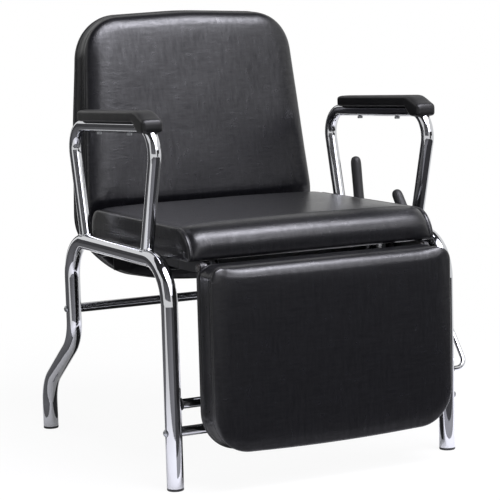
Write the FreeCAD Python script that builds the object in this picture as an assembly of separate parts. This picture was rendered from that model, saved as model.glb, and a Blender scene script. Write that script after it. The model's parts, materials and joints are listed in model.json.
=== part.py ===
"""Reclining shampoo chair with a lifting legrest, in millimetres.

+Z is up and the sitter faces -Y, so the sitter's left side is +X.
While the chair is drawn, y is counted rearward from the front legs.
On export it moves so that the origin lies on the floor, midway between the feet.
"""
import FreeCAD, Part
import math
import os
from FreeCAD import Vector

# Side frames of bent tube
frame_half_width = 300.0
foot_span = 640.0
rear_leg_y = 480.0
rail_height = 428.0
frame_tube_d = 32.0
tube_wall = 1.5
bend_radius = 80.0
kick_top = 217.0
kick_bottom = 99.0

# Arm loops, welded on the side rails
arm_tube_d = 25.4
arm_inset = 3.0
arm_front_foot_y = 104.0
arm_front_lean = 70.0
arm_rear_foot_setback = 81.0
arm_rear_lean = 57.0
arm_front_rise = 249.0
arm_rear_rise = 234.0
arm_bend_radius = 50.0

# Moulded armrest pads
pad_width = 43.0
pad_front_overhang = 17.0
pad_rear_setback = 79.0
pad_slope_length = 42.0
pad_above_tube = 30.0
pad_skirt = 8.0
pad_nose_drop = 12.0
pad_edge_radius = 7.0
pad_heel_radius = 6.0
pad_brow_radius = 30.0
pad_nose_radius = 8.0
pad_lip_radius = 4.0
pad_groove_clearance = 0.2
pad_screw_setback = 114.0
pad_screw_pitch = 150.0
pad_screw_d = 6.0
pad_screw_bite = 10.0
pad_screw_head_d = 11.0
pad_screw_head_height = 4.0

# Foot caps
cap_base = 5.0
cap_edge = 1.5
cap_stem = 24.0
cap_stem_clearance = 0.1

# Cross bars between the legs and their screws
bar_d = 19.0
bar_end_plug = 26.0
front_bar_height = 110.0
rear_bar_drop = 146.5
screw_d = 8.0
screw_bite = 16.0
screw_head_d = 15.0
screw_head_height = 5.0
hole_clearance = 0.2

# Seat
seat_side_gap = 19.0
seat_front_y = -18.0
seat_depth = 469.0
seat_thickness = 63.0
seat_front_radius = 42.0
seat_rear_radius = 20.0
seat_side_radius = 14.0
seat_low_radius = 6.0
board_thickness = 12.0
board_inset = 12.0

# Seat bars under the seat and their screws
seat_bar_size = 25.0
seat_bar_corner = 3.0
seat_bar_wall = 2.0
front_seat_bar_setback = 108.0
rear_seat_bar_ahead = 82.0
seat_screw_d = 6.0
seat_screw_x = 120.0
seat_screw_head_d = 12.0
seat_screw_head_height = 3.5

# Backrest, drawn upright about its hinge axis and then leaned back
back_lean = 7.0
back_hinge_ahead = 21.0
back_hinge_drop = 20.0
back_face_gap = 25.0
back_above_hinge = 486.0
back_below_hinge = 82.0
back_side_gap = 12.3
back_taper = 32.0
back_low_corner_rise = 58.0
back_top_crown = 9.0
back_thickness = 66.0
back_top_radius = 110.0
back_low_radius = 130.0
back_bottom_radius = 600.0
back_crown_radius = 900.0
back_edge_radius = 16.0
rear_panel_thickness = 4.0
rear_panel_inset = 16.0

# Backrest hinges
plate = 4.0
side_gap = 0.3
back_hinge_x = 180.0
pivot_d = 10.0
pivot_clearance = 0.1
pivot_head_d = 17.0
pivot_head_height = 6.0
ear_radius = 12.0
back_flange_width = 36.0
back_flange_low = 48.0
back_flange_high = 12.0

# Legrest
legrest_side_step = 11.0
legrest_seat_gap = 8.0
legrest_height = 351.0
legrest_low_crown = 9.0
legrest_bottom_radius = 4000.0
legrest_ahead = 11.0
legrest_thickness = 66.0
legrest_top_radius = 22.0
legrest_low_radius = 66.0
legrest_edge_radius = 16.0
legrest_board_corner = 3.0
legrest_hinge_setback = 11.0
legrest_hinge_drop = 12.0
legrest_hinge_inset = 16.0
hinge_eye_radius = 10.0
hinge_arm_length = 130.0
hinge_arm_depth = 13.0
hinge_arm_corner = 6.0
legrest_flange_width = 22.0
legrest_flange_low = 62.0
bracket_depth = 24.0

# Lift linkage: lever shaft, cranks, links and horns form a parallelogram
shaft_height = 162.0
shaft_d = 19.0
shaft_end_gap = 1.5
journal_d = 12.0
journal_length = 9.0
bush_wall = 2.0
bush_flange = 1.5
bush_flange_d = 24.0
running_clearance = 0.06
crank_radius = 55.0
crank_hub_wall = 3.0
link_x = 185.0
link_thickness = 5.0
link_width = 14.0
link_pin_d = 8.0
link_eye_clearance = 0.35
link_pin_head_d = 13.0
link_pin_head = 3.0
horn_root_high = 26.0
horn_root_low = 96.0
horn_top_radius = 20.0

# Hand levers and grips
lever_gap = 32.0
lever_rod_d = 10.0
lever_bend_radius = 24.0
lever_socket = 65.0
legrest_lever_length = 426.0
legrest_lever_angle = 37.9
recline_lever_length = 165.0
recline_lever_angle = 7.4
grip_d = 23.0
grip_length = 105.0
grip_cap = 4.0
grip_tip_radius = 8.5
recline_shaft_ahead = 24.0
recline_shaft_drop = 32.0
finger_length = 42.0
finger_width = 8.0
finger_drop = 4.0
finger_tip_radius = 2.0
finger_hub_wall = 2.0

# Recline lock under the seat
lock_slope = 14.0
lock_pin_below = 59.5
lock_pin_behind = 5.0
lock_pin_d = 8.0
lock_pin_rise = 2.6
lock_slot_travel = 7.2
lock_slot_play = 1.6
lock_rod_d = 10.0
lock_housing_start = 67.0
lock_housing_length = 104.0
lock_housing_width = 28.0
lock_housing_height = 34.0
lock_housing_corner = 4.0
lock_tube_length = 46.0
lock_stroke = 43.0
lock_blade = 6.0
lock_blade_height = 25.0
lock_blade_length = 14.0
lock_blade_nose = 9.5
lock_ear_gap = 1.0
lock_ear_radius = 9.0
lock_arm_half_width = 22.0
lock_arm_half_height = 18.0
cheek_reach = 74.0
cheek_drop = 30.0

# How much smaller a rounded end's radius is than half its width, so a short flat stays,
# and how far a cutting tool runs past the faces it cuts
end_flat = 1.0
overcut = 1.0

# Sizes that follow from those above
frame_r = frame_tube_d / 2
arm_r = arm_tube_d / 2
arm_x = frame_half_width - arm_inset
rod_r = lever_rod_d / 2
arm_front_top_y = arm_front_foot_y - arm_front_lean
arm_rear_foot_y = rear_leg_y - arm_rear_foot_setback
arm_rear_top_y = arm_rear_foot_y + arm_rear_lean
arm_front_height = rail_height + arm_front_rise
arm_rear_height = rail_height + arm_rear_rise
arm_slope = (arm_front_height - arm_rear_height) / (arm_rear_top_y - arm_front_top_y)
pad_nose_y = arm_front_top_y + pad_front_overhang
pad_rear_y = arm_rear_top_y - pad_rear_setback
pad_screw_y = (pad_nose_y + pad_screw_setback, pad_nose_y + pad_screw_setback + pad_screw_pitch)
rear_bar_height = rail_height - rear_bar_drop
seat_width = 2 * (frame_half_width - frame_r - seat_side_gap)
seat_rear_y = seat_front_y + seat_depth
seat_bottom = rail_height
back_hinge_y = seat_rear_y - back_hinge_ahead
back_hinge_height = seat_bottom - back_hinge_drop
front_seat_bar_y = seat_front_y + front_seat_bar_setback
rear_seat_bar_y = back_hinge_y - rear_seat_bar_ahead
seat_bar_reach = frame_half_width - frame_r / 2
back_low_half_width = arm_x - arm_r - back_side_gap
back_top_half_width = back_low_half_width - back_taper
legrest_width = seat_width - 2 * legrest_side_step
legrest_top = seat_bottom - legrest_seat_gap
legrest_bottom = legrest_top - legrest_height
legrest_rear_y = seat_front_y - legrest_ahead
legrest_hinge_y = legrest_rear_y + legrest_hinge_setback
legrest_hinge_height = seat_bottom - legrest_hinge_drop
legrest_hinge_x = legrest_width / 2 - legrest_hinge_inset
lever_x = frame_half_width + frame_r + lever_gap
recline_shaft_y = back_hinge_y - recline_shaft_ahead
recline_shaft_height = seat_bottom - recline_shaft_drop


def rounded_wire(points, radii, closed):
    """Wire of straight runs whose corners are rounded by tangent arcs."""
    count = len(points)
    ends = []
    edges = []
    for index, point in enumerate(points):
        radius = radii[index]
        inner = closed or 0 < index < count - 1
        if not inner or radius == 0:
            ends.append((point, point))
            continue
        back = (points[index - 1] - point).normalize()
        ahead = (points[(index + 1) % count] - point).normalize()
        half = back.getAngle(ahead) / 2
        reach = radius / math.tan(half)
        bisector = (back + ahead).normalize()
        middle = point + bisector * (radius / math.sin(half) - radius)
        first, last = point + back * reach, point + ahead * reach
        ends.append((first, last))
        edges.append((index, Part.Arc(first, middle, last).toShape()))
    arcs = dict(edges)
    path = []
    for index in range(count):
        if index in arcs:
            path.append(arcs[index])
        if index < count - 1 or closed:
            start, stop = ends[index][1], ends[(index + 1) % count][0]
            if (stop - start).Length > 1e-6:
                path.append(Part.LineSegment(start, stop).toShape())
    return Part.Wire(path)


def swept(points, radii, radius):
    """Round bar along a path with rounded corners."""
    path = rounded_wire(points, radii, False)
    direction = points[1] - points[0]
    ring = Part.Wire(Part.Circle(points[0], direction, radius).toShape())
    return path.makePipeShell([ring], True, True)


def side_plate(points, radii, x, thickness):
    """Plate in a plane across X, from (y, z) corners."""
    wire = rounded_wire([Vector(x, y, z) for y, z in points], radii, True)
    return Part.Face(wire).extrude(Vector(thickness, 0, 0))


def round_x(x_start, x_end, y, z, diameter):
    """Cylinder along X."""
    low, high = min(x_start, x_end), max(x_start, x_end)
    return Part.makeCylinder(diameter / 2, high - low, Vector(low, y, z), Vector(1, 0, 0))


def block(x, y, z):
    """Box between pairs of limits."""
    size = (x[1] - x[0], y[1] - y[0], z[1] - z[0])
    return Part.makeBox(*size, Vector(x[0], y[0], z[0]))


def mirrored(shape):
    """The same piece on the sitter's right."""
    return shape.mirror(Vector(0, 0, 0), Vector(1, 0, 0))


def dome_screw(x_head, x_tip, y, z, diameter, head_d, head_height):
    """Screw along X with a domed head outside x_head."""
    out = 1 if x_head > x_tip else -1
    sphere_r = (head_d ** 2 / 4 + head_height ** 2) / (2 * head_height)
    centre = Vector(x_head + out * (head_height - sphere_r), y, z)
    head = Part.makeSphere(sphere_r, centre)
    head = head.common(round_x(x_head, x_head + out * head_height, y, z, head_d))
    return head.fuse(round_x(x_head, x_tip, y, z, diameter)).removeSplitter()


def edges_at(shape, test):
    """Edges whose ends and middle all pass a test on position."""
    found = []
    for edge in shape.Edges:
        middle = edge.valueAt((edge.FirstParameter + edge.LastParameter) / 2)
        places = [vertex.Point for vertex in edge.Vertexes] + [middle]
        if all(test(place) for place in places):
            found.append(edge)
    return found


def side_frame_points():
    """Centre line of a side frame, from the front foot to the rear foot."""
    x = frame_half_width
    return [
        Vector(x, 0, cap_base),
        Vector(x, 0, rail_height),
        Vector(x, rear_leg_y, rail_height),
        Vector(x, rear_leg_y, kick_top),
        Vector(x, foot_span, kick_bottom),
        Vector(x, foot_span, cap_base),
    ]


def side_frame_bar(radius):
    """Side frame as a solid bar of the given radius."""
    return swept(side_frame_points(), [bend_radius] * 6, radius)


def side_frame(shaft_hole_d, through):
    """Bent tube with the holes for the cross bar screws and the lever shaft."""
    tube = side_frame_bar(frame_r).cut(side_frame_bar(frame_r - tube_wall))
    outer = frame_half_width + frame_r + overcut
    inner = frame_half_width - frame_r - overcut
    hole_d = screw_d + 2 * hole_clearance
    for y, z in ((0, front_bar_height), (rear_leg_y, rear_bar_height)):
        tube = tube.cut(round_x(inner, outer, y, z, hole_d))
    shaft_end = outer if through else frame_half_width
    return tube.cut(round_x(inner, shaft_end, 0, shaft_height, shaft_hole_d))


def arm_points():
    """Centre line of an arm loop, from the front of the rail to its rear."""
    return [
        Vector(arm_x, arm_front_foot_y, rail_height),
        Vector(arm_x, arm_front_top_y, arm_front_height),
        Vector(arm_x, arm_rear_top_y, arm_rear_height),
        Vector(arm_x, arm_rear_foot_y, rail_height),
    ]


def arm_bar(radius):
    """Arm loop as a solid bar of the given radius."""
    return swept(arm_points(), [arm_bend_radius] * 4, radius)


def arm_height(y):
    """Height of the arm loop's top run at a distance from the front legs."""
    return arm_rear_height + arm_slope * (arm_rear_top_y - y)


def arm_loop():
    """Arm tube with ends coped to the rail and holes for the pad screws."""
    loop = arm_bar(arm_r).cut(arm_bar(arm_r - tube_wall)).cut(side_frame_bar(frame_r))
    hole_d = pad_screw_d + 2 * hole_clearance
    for y in pad_screw_y:
        start = Vector(arm_x, y, arm_height(y) - arm_tube_d)
        loop = loop.cut(Part.makeCylinder(hole_d / 2, 2 * arm_tube_d, start))
    return loop


def armrest_pad():
    """Moulded pad grooved over the arm tube, with a nose sloping down in front."""
    half = pad_width / 2
    slope_y = pad_nose_y + pad_slope_length
    nose_low = arm_height(pad_nose_y) - pad_nose_drop
    corners = [
        (pad_rear_y, arm_height(pad_rear_y) + pad_skirt),
        (pad_rear_y, arm_height(pad_rear_y) + pad_above_tube),
        (slope_y, arm_height(slope_y) + pad_above_tube),
        (pad_nose_y, arm_height(pad_nose_y) + pad_skirt),
        (pad_nose_y + pad_nose_drop, nose_low),
        (slope_y, nose_low),
        (slope_y + pad_nose_drop, arm_height(slope_y) + pad_skirt),
    ]
    radii = [pad_lip_radius, pad_heel_radius, pad_brow_radius, pad_nose_radius,
             pad_lip_radius, pad_nose_radius, pad_nose_radius]
    pad = side_plate(corners, radii, arm_x - half, pad_width)
    sides = edges_at(pad, lambda p: abs(abs(p.x - arm_x) - half) < 1e-3
                     and p.z > arm_height(p.y) + pad_skirt + pad_lip_radius)
    pad = pad.makeFillet(pad_edge_radius, sides)
    pad = pad.cut(arm_bar(arm_r + pad_groove_clearance))
    for y in pad_screw_y:
        top = arm_height(y) + arm_r + pad_screw_bite
        start = Vector(arm_x, y, arm_height(y))
        pad = pad.cut(Part.makeCylinder(pad_screw_d / 2, top - arm_height(y), start))
    return pad


def armrest_screws():
    """Screws up through the arm tubes into the pads."""
    screws = []
    for sign in (1, -1):
        for y in pad_screw_y:
            foot = Vector(sign * arm_x, y, arm_height(y) - arm_r - side_gap)
            length = arm_tube_d + side_gap + pad_screw_bite
            head = Part.makeCylinder(
                pad_screw_head_d / 2, pad_screw_head_height,
                foot - Vector(0, 0, pad_screw_head_height))
            shank = Part.makeCylinder(pad_screw_d / 2, length, foot)
            screws.append(head.fuse(shank).removeSplitter())
    return Part.makeCompound(screws)


def foot_cap(x, y):
    """Cap with a stem that plugs the open end of a leg."""
    stem_r = frame_r - tube_wall - cap_stem_clearance
    base = Part.makeCylinder(frame_r, cap_base, Vector(x, y, 0))
    base = base.makeFillet(cap_edge, edges_at(base, lambda p: p.z < 1e-3))
    stem = Part.makeCylinder(stem_r, cap_stem, Vector(x, y, cap_base))
    return base.fuse(stem).removeSplitter()


def cross_bar(y, z):
    """Tube between the legs, coped to them, with threaded plugs in its ends."""
    half = frame_half_width
    bar = round_x(-half, half, y, z, bar_d)
    bore_half = half - frame_r - bar_end_plug
    bar = bar.cut(round_x(-bore_half, bore_half, y, z, bar_d - 2 * tube_wall))
    for sign in (1, -1):
        leg = Part.makeCylinder(frame_r, 4 * bar_d, Vector(sign * half, y, z - 2 * bar_d))
        bar = bar.cut(leg)
        tip = sign * (half - frame_r - screw_bite)
        bar = bar.cut(round_x(sign * half, tip, y, z, screw_d))
    return bar


def cross_bar_screws():
    """Domed screws through the legs into the cross bars."""
    head = frame_half_width + frame_r
    tip = frame_half_width - frame_r - screw_bite
    screws = []
    for y, z in ((0, front_bar_height), (rear_leg_y, rear_bar_height)):
        for sign in (1, -1):
            screws.append(dome_screw(sign * head, sign * tip, y, z,
                                     screw_d, screw_head_d, screw_head_height))
    return Part.makeCompound(screws)


def seat_bar(y):
    """Square tube under the seat, its ends coped to the side rails."""
    def square(size, corner):
        low = seat_bottom - seat_bar_size / 2 - size / 2
        points = [(y - size / 2, low), (y + size / 2, low),
                  (y + size / 2, low + size), (y - size / 2, low + size)]
        return side_plate(points, [corner] * 4, -seat_bar_reach, 2 * seat_bar_reach)

    bar = square(seat_bar_size, seat_bar_corner)
    bar = bar.cut(square(seat_bar_size - 2 * seat_bar_wall, seat_bar_corner - seat_bar_wall))
    rail = side_frame_bar(frame_r)
    bar = bar.cut(rail).cut(mirrored(rail))
    for x in (-seat_screw_x, seat_screw_x):
        start = Vector(x, y, seat_bottom - 2 * seat_bar_size)
        hole_r = seat_screw_d / 2 + hole_clearance
        bar = bar.cut(Part.makeCylinder(hole_r, 3 * seat_bar_size, start))
    return bar


def seat_board_box():
    """Plywood panel that closes the underside of the seat."""
    half = seat_width / 2 - board_inset
    return block((-half, half), (seat_front_y + board_inset, seat_rear_y - board_inset),
                 (seat_bottom, seat_bottom + board_thickness))


def seat_screw_places():
    """Where the seat screws stand, in plan."""
    return [(x, y) for x in (-seat_screw_x, seat_screw_x)
            for y in (front_seat_bar_y, rear_seat_bar_y)]


def seat_board():
    """Seat board with its screw holes."""
    board = seat_board_box()
    for x, y in seat_screw_places():
        hole = Part.makeCylinder(seat_screw_d / 2, board_thickness, Vector(x, y, seat_bottom))
        board = board.cut(hole)
    return board


def seat_screws():
    """Screws up through the seat bars into the board."""
    screws = []
    under = seat_bottom - seat_bar_size
    for x, y in seat_screw_places():
        head = Part.makeCylinder(seat_screw_head_d / 2, seat_screw_head_height,
                                 Vector(x, y, under - seat_screw_head_height))
        shank = Part.makeCylinder(seat_screw_d / 2, seat_bar_size + board_thickness,
                                  Vector(x, y, under))
        screws.append(head.fuse(shank).removeSplitter())
    return Part.makeCompound(screws)


def seat_cushion():
    """Upholstered seat with a rolled front edge, wrapped round its board."""
    half = seat_width / 2
    top = seat_bottom + seat_thickness
    corners = [(seat_front_y, seat_bottom), (seat_rear_y, seat_bottom),
               (seat_rear_y, top), (seat_front_y, top)]
    radii = [seat_low_radius, seat_low_radius, seat_rear_radius, seat_front_radius]
    cushion = side_plate(corners, radii, -half, seat_width)
    sides = edges_at(cushion, lambda p: abs(abs(p.x) - half) < 1e-3
                     and p.z > seat_bottom + board_thickness)
    cushion = cushion.makeFillet(seat_side_radius, sides)
    return cushion.cut(seat_board_box())


def leaned(shape):
    """Lean a piece drawn upright on the backrest's hinge axis to its rest angle."""
    placed = shape.copy()
    placed.rotate(Vector(0, back_hinge_y, back_hinge_height), Vector(1, 0, 0), -back_lean)
    return placed


def back_face_y():
    """Front face of the backrest while it is drawn upright."""
    return back_hinge_y + back_face_gap


def back_panel(inset, front, thickness):
    """Slab with the backrest's outline, moved in by an inset."""
    top = back_hinge_height + back_above_hinge - inset
    bottom = back_hinge_height - back_below_hinge + inset
    high = back_top_half_width - inset
    low = back_low_half_width - inset
    low_corner = bottom + back_low_corner_rise - back_bottom_sag()
    points = [(high, top - back_top_crown), (0, top), (-high, top - back_top_crown),
              (-low, low_corner), (0, bottom - back_bottom_sag()), (low, low_corner)]
    radii = [back_top_radius - inset, back_crown_radius, back_top_radius - inset,
             back_low_radius - inset, back_bottom_radius, back_low_radius - inset]
    corners = [Vector(x, back_face_y() + front, z) for x, z in points]
    return Part.Face(rounded_wire(corners, radii, True)).extrude(Vector(0, thickness, 0))


def back_bottom_sag():
    """How far the rounded bottom edge stays above its two slanted lines' meeting point."""
    slant = math.atan2(back_low_corner_rise, back_low_half_width)
    return back_bottom_radius / math.cos(slant) - back_bottom_radius


def back_board_front():
    """Depth of the back board behind the front face."""
    return back_thickness - rear_panel_thickness - board_thickness


def back_cushion():
    """Upholstered backrest, open at the rear for its board and rear panel."""
    cushion = back_panel(0, 0, back_thickness)
    face = back_face_y()
    rim = edges_at(cushion, lambda p: abs(p.y - face) < 1e-3)
    cushion = cushion.makeFillet(back_edge_radius, rim)
    cushion = cushion.cut(back_panel(board_inset, back_board_front(), board_thickness))
    pocket_front = back_thickness - rear_panel_thickness
    return leaned(cushion.cut(back_panel(rear_panel_inset, pocket_front, rear_panel_thickness)))


def back_board():
    """Plywood panel inside the backrest."""
    return leaned(back_panel(board_inset, back_board_front(), board_thickness))


def back_rear_panel():
    """Panel that closes the rear of the backrest."""
    front = back_thickness - rear_panel_thickness
    return leaned(back_panel(rear_panel_inset, front, rear_panel_thickness))


def seat_back_bracket(shaft_hole):
    """Plate behind the rear seat bar that carries the backrest's pivot."""
    root = rear_seat_bar_y + seat_bar_size / 2
    low = seat_bottom - seat_bar_size
    corners = [(root, low), (root, seat_bottom - side_gap),
               (back_hinge_y + ear_radius, seat_bottom - side_gap),
               (back_hinge_y + ear_radius, back_hinge_height - ear_radius),
               (recline_shaft_y - 2 * ear_radius, recline_shaft_height - ear_radius)]
    radii = [0, 0, ear_radius - end_flat, ear_radius - end_flat, ear_radius]
    bracket = side_plate(corners, radii, back_hinge_x, plate)
    end = back_hinge_x + plate
    bracket = bracket.cut(round_x(back_hinge_x, end, back_hinge_y, back_hinge_height, pivot_d))
    if shaft_hole:
        hole_d = lever_rod_d + 2 * running_clearance
        hole = round_x(back_hinge_x, end, recline_shaft_y, recline_shaft_height, hole_d)
        bracket = bracket.cut(hole)
    return bracket


def back_hinge_plate():
    """Angle on the face of the backrest with an ear round the pivot."""
    face = back_face_y()
    ear_x = back_hinge_x + plate + side_gap
    low = back_hinge_height - back_flange_low
    high = back_hinge_height + back_flange_high
    corners = [(back_hinge_y - ear_radius, back_hinge_height + ear_radius),
               (back_hinge_y - ear_radius, back_hinge_height - ear_radius),
               (face, low), (face, high)]
    rounding = ear_radius - end_flat
    ear = side_plate(corners, [rounding, rounding, 0, 0], ear_x, plate)
    flange = block((ear_x, ear_x + back_flange_width), (face - plate, face), (low, high))
    hole_d = pivot_d + 2 * pivot_clearance
    hole = round_x(ear_x, ear_x + plate, back_hinge_y, back_hinge_height, hole_d)
    return leaned(ear.fuse(flange).removeSplitter().cut(hole))


def pivot_bolt(x, stack, y, z):
    """Bolt along X with a domed head outside a stack of plates and a nut inside it."""
    bolt = dome_screw(x + stack + side_gap, x - pivot_head_height, y, z,
                      pivot_d, pivot_head_d, pivot_head_height)
    nut = round_x(x - pivot_head_height, x, y, z, pivot_head_d)
    return bolt.fuse(nut).removeSplitter()


def both_sides(piece):
    """A piece and its mirror image as one group."""
    return Part.makeCompound([piece, mirrored(piece)])


def back_pivot_bolts():
    """Pivots of the backrest."""
    return both_sides(pivot_bolt(back_hinge_x, 2 * plate + side_gap,
                                 back_hinge_y, back_hinge_height))


def legrest_panel(inset, front, thickness):
    """Slab with the legrest's outline, moved in by an inset."""
    half = legrest_width / 2 - inset
    top, low = legrest_top - inset, legrest_bottom + inset
    top_radius = max(legrest_top_radius - inset, legrest_board_corner)
    low_radius = legrest_low_radius - inset
    corner = low + legrest_low_crown
    points = [(half, top), (-half, top), (-half, corner), (0, low), (half, corner)]
    radii = [top_radius, top_radius, low_radius, legrest_bottom_radius, low_radius]
    wire = rounded_wire([Vector(x, front, z) for x, z in points], radii, True)
    return Part.Face(wire).extrude(Vector(0, thickness, 0))


def legrest_board():
    """Plywood panel at the rear of the legrest."""
    return legrest_panel(board_inset, legrest_rear_y - board_thickness, board_thickness)


def legrest_cushion():
    """Upholstered legrest, open at the rear for its board."""
    front = legrest_rear_y - legrest_thickness
    cushion = legrest_panel(0, front, legrest_thickness)
    rim = edges_at(cushion, lambda p: abs(p.y - front) < 1e-3)
    return cushion.makeFillet(legrest_edge_radius, rim).cut(legrest_board())


def legrest_bracket():
    """Plate in front of the front seat bar that carries the legrest's pivot."""
    root = front_seat_bar_y - seat_bar_size / 2
    high = seat_bottom - side_gap
    y, z = legrest_hinge_y, legrest_hinge_height
    eye = hinge_eye_radius
    corners = [(y - eye, z + eye), (y - eye, z - eye), (root, high - bracket_depth),
               (root, high), (y + eye, high)]
    radii = [eye - end_flat, eye - end_flat, 0, 0, 0]
    bracket = side_plate(corners, radii, legrest_hinge_x, plate)
    return bracket.cut(round_x(legrest_hinge_x, legrest_hinge_x + plate, y, z, pivot_d))


def legrest_hinge_arm():
    """Angle on the legrest's board with an eye round the pivot."""
    x = legrest_hinge_x + plate + side_gap
    y, z = legrest_hinge_y, legrest_hinge_height
    eye = hinge_eye_radius
    low = legrest_top - hinge_arm_length
    rear = legrest_rear_y
    corners = [(rear, z - 2 * eye), (rear, low), (rear + hinge_arm_depth, low),
               (y + eye, z - eye), (y + eye, z + eye), (y - eye, z + eye)]
    rounding = eye - end_flat
    arm = side_plate(corners, [0, 0, hinge_arm_corner, 0, rounding, rounding], x, plate)
    flange_x = x + plate - legrest_flange_width
    flange = block((flange_x, x + plate), (rear, rear + plate), (low, z - legrest_flange_low))
    hole_d = pivot_d + 2 * pivot_clearance
    hole = round_x(x, x + plate, y, z, hole_d)
    return arm.fuse(flange).removeSplitter().cut(hole)


def legrest_pivot_bolts():
    """Pivots of the legrest."""
    return both_sides(pivot_bolt(legrest_hinge_x, 2 * plate + side_gap,
                                 legrest_hinge_y, legrest_hinge_height))


def outer_plate_x():
    """Inner face of the cranks and horns, just outside the lift links."""
    return link_x + link_thickness + side_gap


def legrest_horn():
    """Bracket on the legrest's board whose rear end the lift link pulls down."""
    x = outer_plate_x()
    rear = legrest_rear_y
    eye = link_width / 2
    eye_y = legrest_hinge_y + crank_radius
    z = legrest_hinge_height
    low = z - horn_root_low
    corners = [(rear, z - horn_root_high), (rear, low), (rear + hinge_arm_depth, low),
               (eye_y + eye, z - eye), (eye_y + eye, z + eye), (eye_y - 2 * eye, z + eye)]
    rounding = eye - end_flat
    radii = [0, 0, hinge_arm_corner, rounding, rounding, horn_top_radius]
    web = side_plate(corners, radii, x, plate)
    flange = block((x, x + legrest_flange_width), (rear, rear + plate), (low, z - horn_root_high))
    hole = round_x(x, x + plate, eye_y, z, link_pin_d)
    return web.fuse(flange).removeSplitter().cut(hole)


def link_pin(y, z):
    """Headed pin fixed in an outer plate and standing through a link's eye."""
    head_x = link_x - side_gap
    shank = round_x(head_x, outer_plate_x() + plate, y, z, link_pin_d)
    head = round_x(head_x - link_pin_head, head_x, y, z, link_pin_head_d)
    return shank.fuse(head).removeSplitter()


def lift_link():
    """Flat link between a crank and a horn."""
    low = Vector(link_x, crank_radius, shaft_height)
    high = Vector(link_x, legrest_hinge_y + crank_radius, legrest_hinge_height)
    along = (high - low).normalize()
    across = Vector(0, along.z, -along.y) * (link_width / 2)
    tip = along * (link_width / 2)
    corners = [low - tip - across, low - tip + across, high + tip + across, high + tip - across]
    wire = rounded_wire(corners, [(link_width - end_flat) / 2] * 4, True)
    link = Part.Face(wire).extrude(Vector(link_thickness, 0, 0))
    hole_d = link_pin_d + 2 * link_eye_clearance
    for end in (low, high):
        link = link.cut(round_x(link_x, link_x + link_thickness, end.y, end.z, hole_d))
    return link


def crank():
    """Arm welded on the lever shaft."""
    x = outer_plate_x()
    eye = link_width / 2
    hub = shaft_d / 2 + crank_hub_wall
    z = shaft_height
    corners = [(-hub, z - hub), (hub, z - hub), (crank_radius + eye, z - eye),
               (crank_radius + eye, z + eye), (hub, z + hub), (-hub, z + hub)]
    hub_end, eye_end = hub - end_flat, eye - end_flat
    arm = side_plate(corners, [hub_end, hub, eye_end, eye_end, hub, hub_end], x, plate)
    arm = arm.cut(round_x(x, x + plate, 0, z, shaft_d))
    return arm.cut(round_x(x, x + plate, crank_radius, z, link_pin_d))


def shaft_reach():
    """Half length of the lever shaft between the bush flanges."""
    return frame_half_width - frame_r - bush_flange - shaft_end_gap


def legrest_shaft():
    """Shaft across the front legs, with a journal at the right end and a socket at the left."""
    reach = shaft_reach()
    shaft = round_x(-reach, reach, 0, shaft_height, shaft_d)
    tip = -(frame_half_width - frame_r + journal_length - bush_flange)
    shaft = shaft.fuse(round_x(-reach, tip, 0, shaft_height, journal_d)).removeSplitter()
    return shaft.cut(round_x(reach, reach - lever_socket, 0, shaft_height, lever_rod_d))


def bush_d(bore):
    """Outside diameter of a bush on a journal."""
    return bore + 2 * running_clearance + 2 * bush_wall


def shaft_bush(bore, depth):
    """Flanged plastic bush pushed into a front leg from inside."""
    face = frame_half_width - frame_r
    z = shaft_height
    body = round_x(face - bush_flange, face + depth, 0, z, bush_d(bore))
    flange = round_x(face - bush_flange, face + frame_r, 0, z, bush_flange_d)
    flange = flange.cut(side_frame_bar(frame_r))
    flange = flange.common(round_x(face - bush_flange, face + bush_flange, 0, z, bush_flange_d))
    bush = body.fuse(flange).removeSplitter()
    hole_d = bore + 2 * running_clearance
    return bush.cut(round_x(face - bush_flange, face + depth, 0, z, hole_d))


def lever_top(y, z, length, angle):
    """Upper end of a lever's rod, outside the chair."""
    turn = math.radians(angle)
    return Vector(lever_x, y + length * math.sin(turn), z + length * math.cos(turn))


def lever_rod(y, z, length, angle, inner_x):
    """Rod that runs in along X and bends up outside the chair."""
    top = lever_top(y, z, length - grip_cap, angle)
    points = [Vector(inner_x, y, z), Vector(lever_x, y, z), top]
    return swept(points, [0, lever_bend_radius, 0], rod_r)


def grip(y, z, length, angle):
    """Rubber grip pushed over the end of a lever, with a domed tip."""
    top = lever_top(y, z, length, angle)
    down = (Vector(lever_x, y, z) - top).normalize()
    sleeve = Part.makeCylinder(grip_d / 2, grip_length, top, down)
    tip = edges_at(sleeve, lambda p: (p - top).dot(down) < 1e-3)
    sleeve = sleeve.makeFillet(grip_tip_radius, tip)
    bore = Part.makeCylinder(rod_r, grip_length, top + down * grip_cap, down)
    return sleeve.cut(bore)


def legrest_lever_rod():
    """Lever that turns the lift shaft."""
    inner = shaft_reach() - lever_socket
    return lever_rod(0, shaft_height, legrest_lever_length, legrest_lever_angle, inner)


def recline_lever_rod():
    """Lever with a cross shaft under the seat and a finger over the lock."""
    y, z = recline_shaft_y, recline_shaft_height
    rod = lever_rod(y, z, recline_lever_length, recline_lever_angle, -plate)
    half = finger_width / 2
    tip = y - finger_length
    hub = rod_r + finger_hub_wall
    hub_end = hub - end_flat
    tip_r = finger_tip_radius
    corners = [(y + hub, z - hub), (y + hub, z + hub), (y - hub, z + hub),
               (tip, z - finger_drop + half), (tip, z - finger_drop - half), (y - hub, z - hub)]
    finger = side_plate(corners, [hub_end, hub_end, hub, tip_r, tip_r, hub], -plate, 2 * plate)
    return rod.fuse(finger).removeSplitter()


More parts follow.
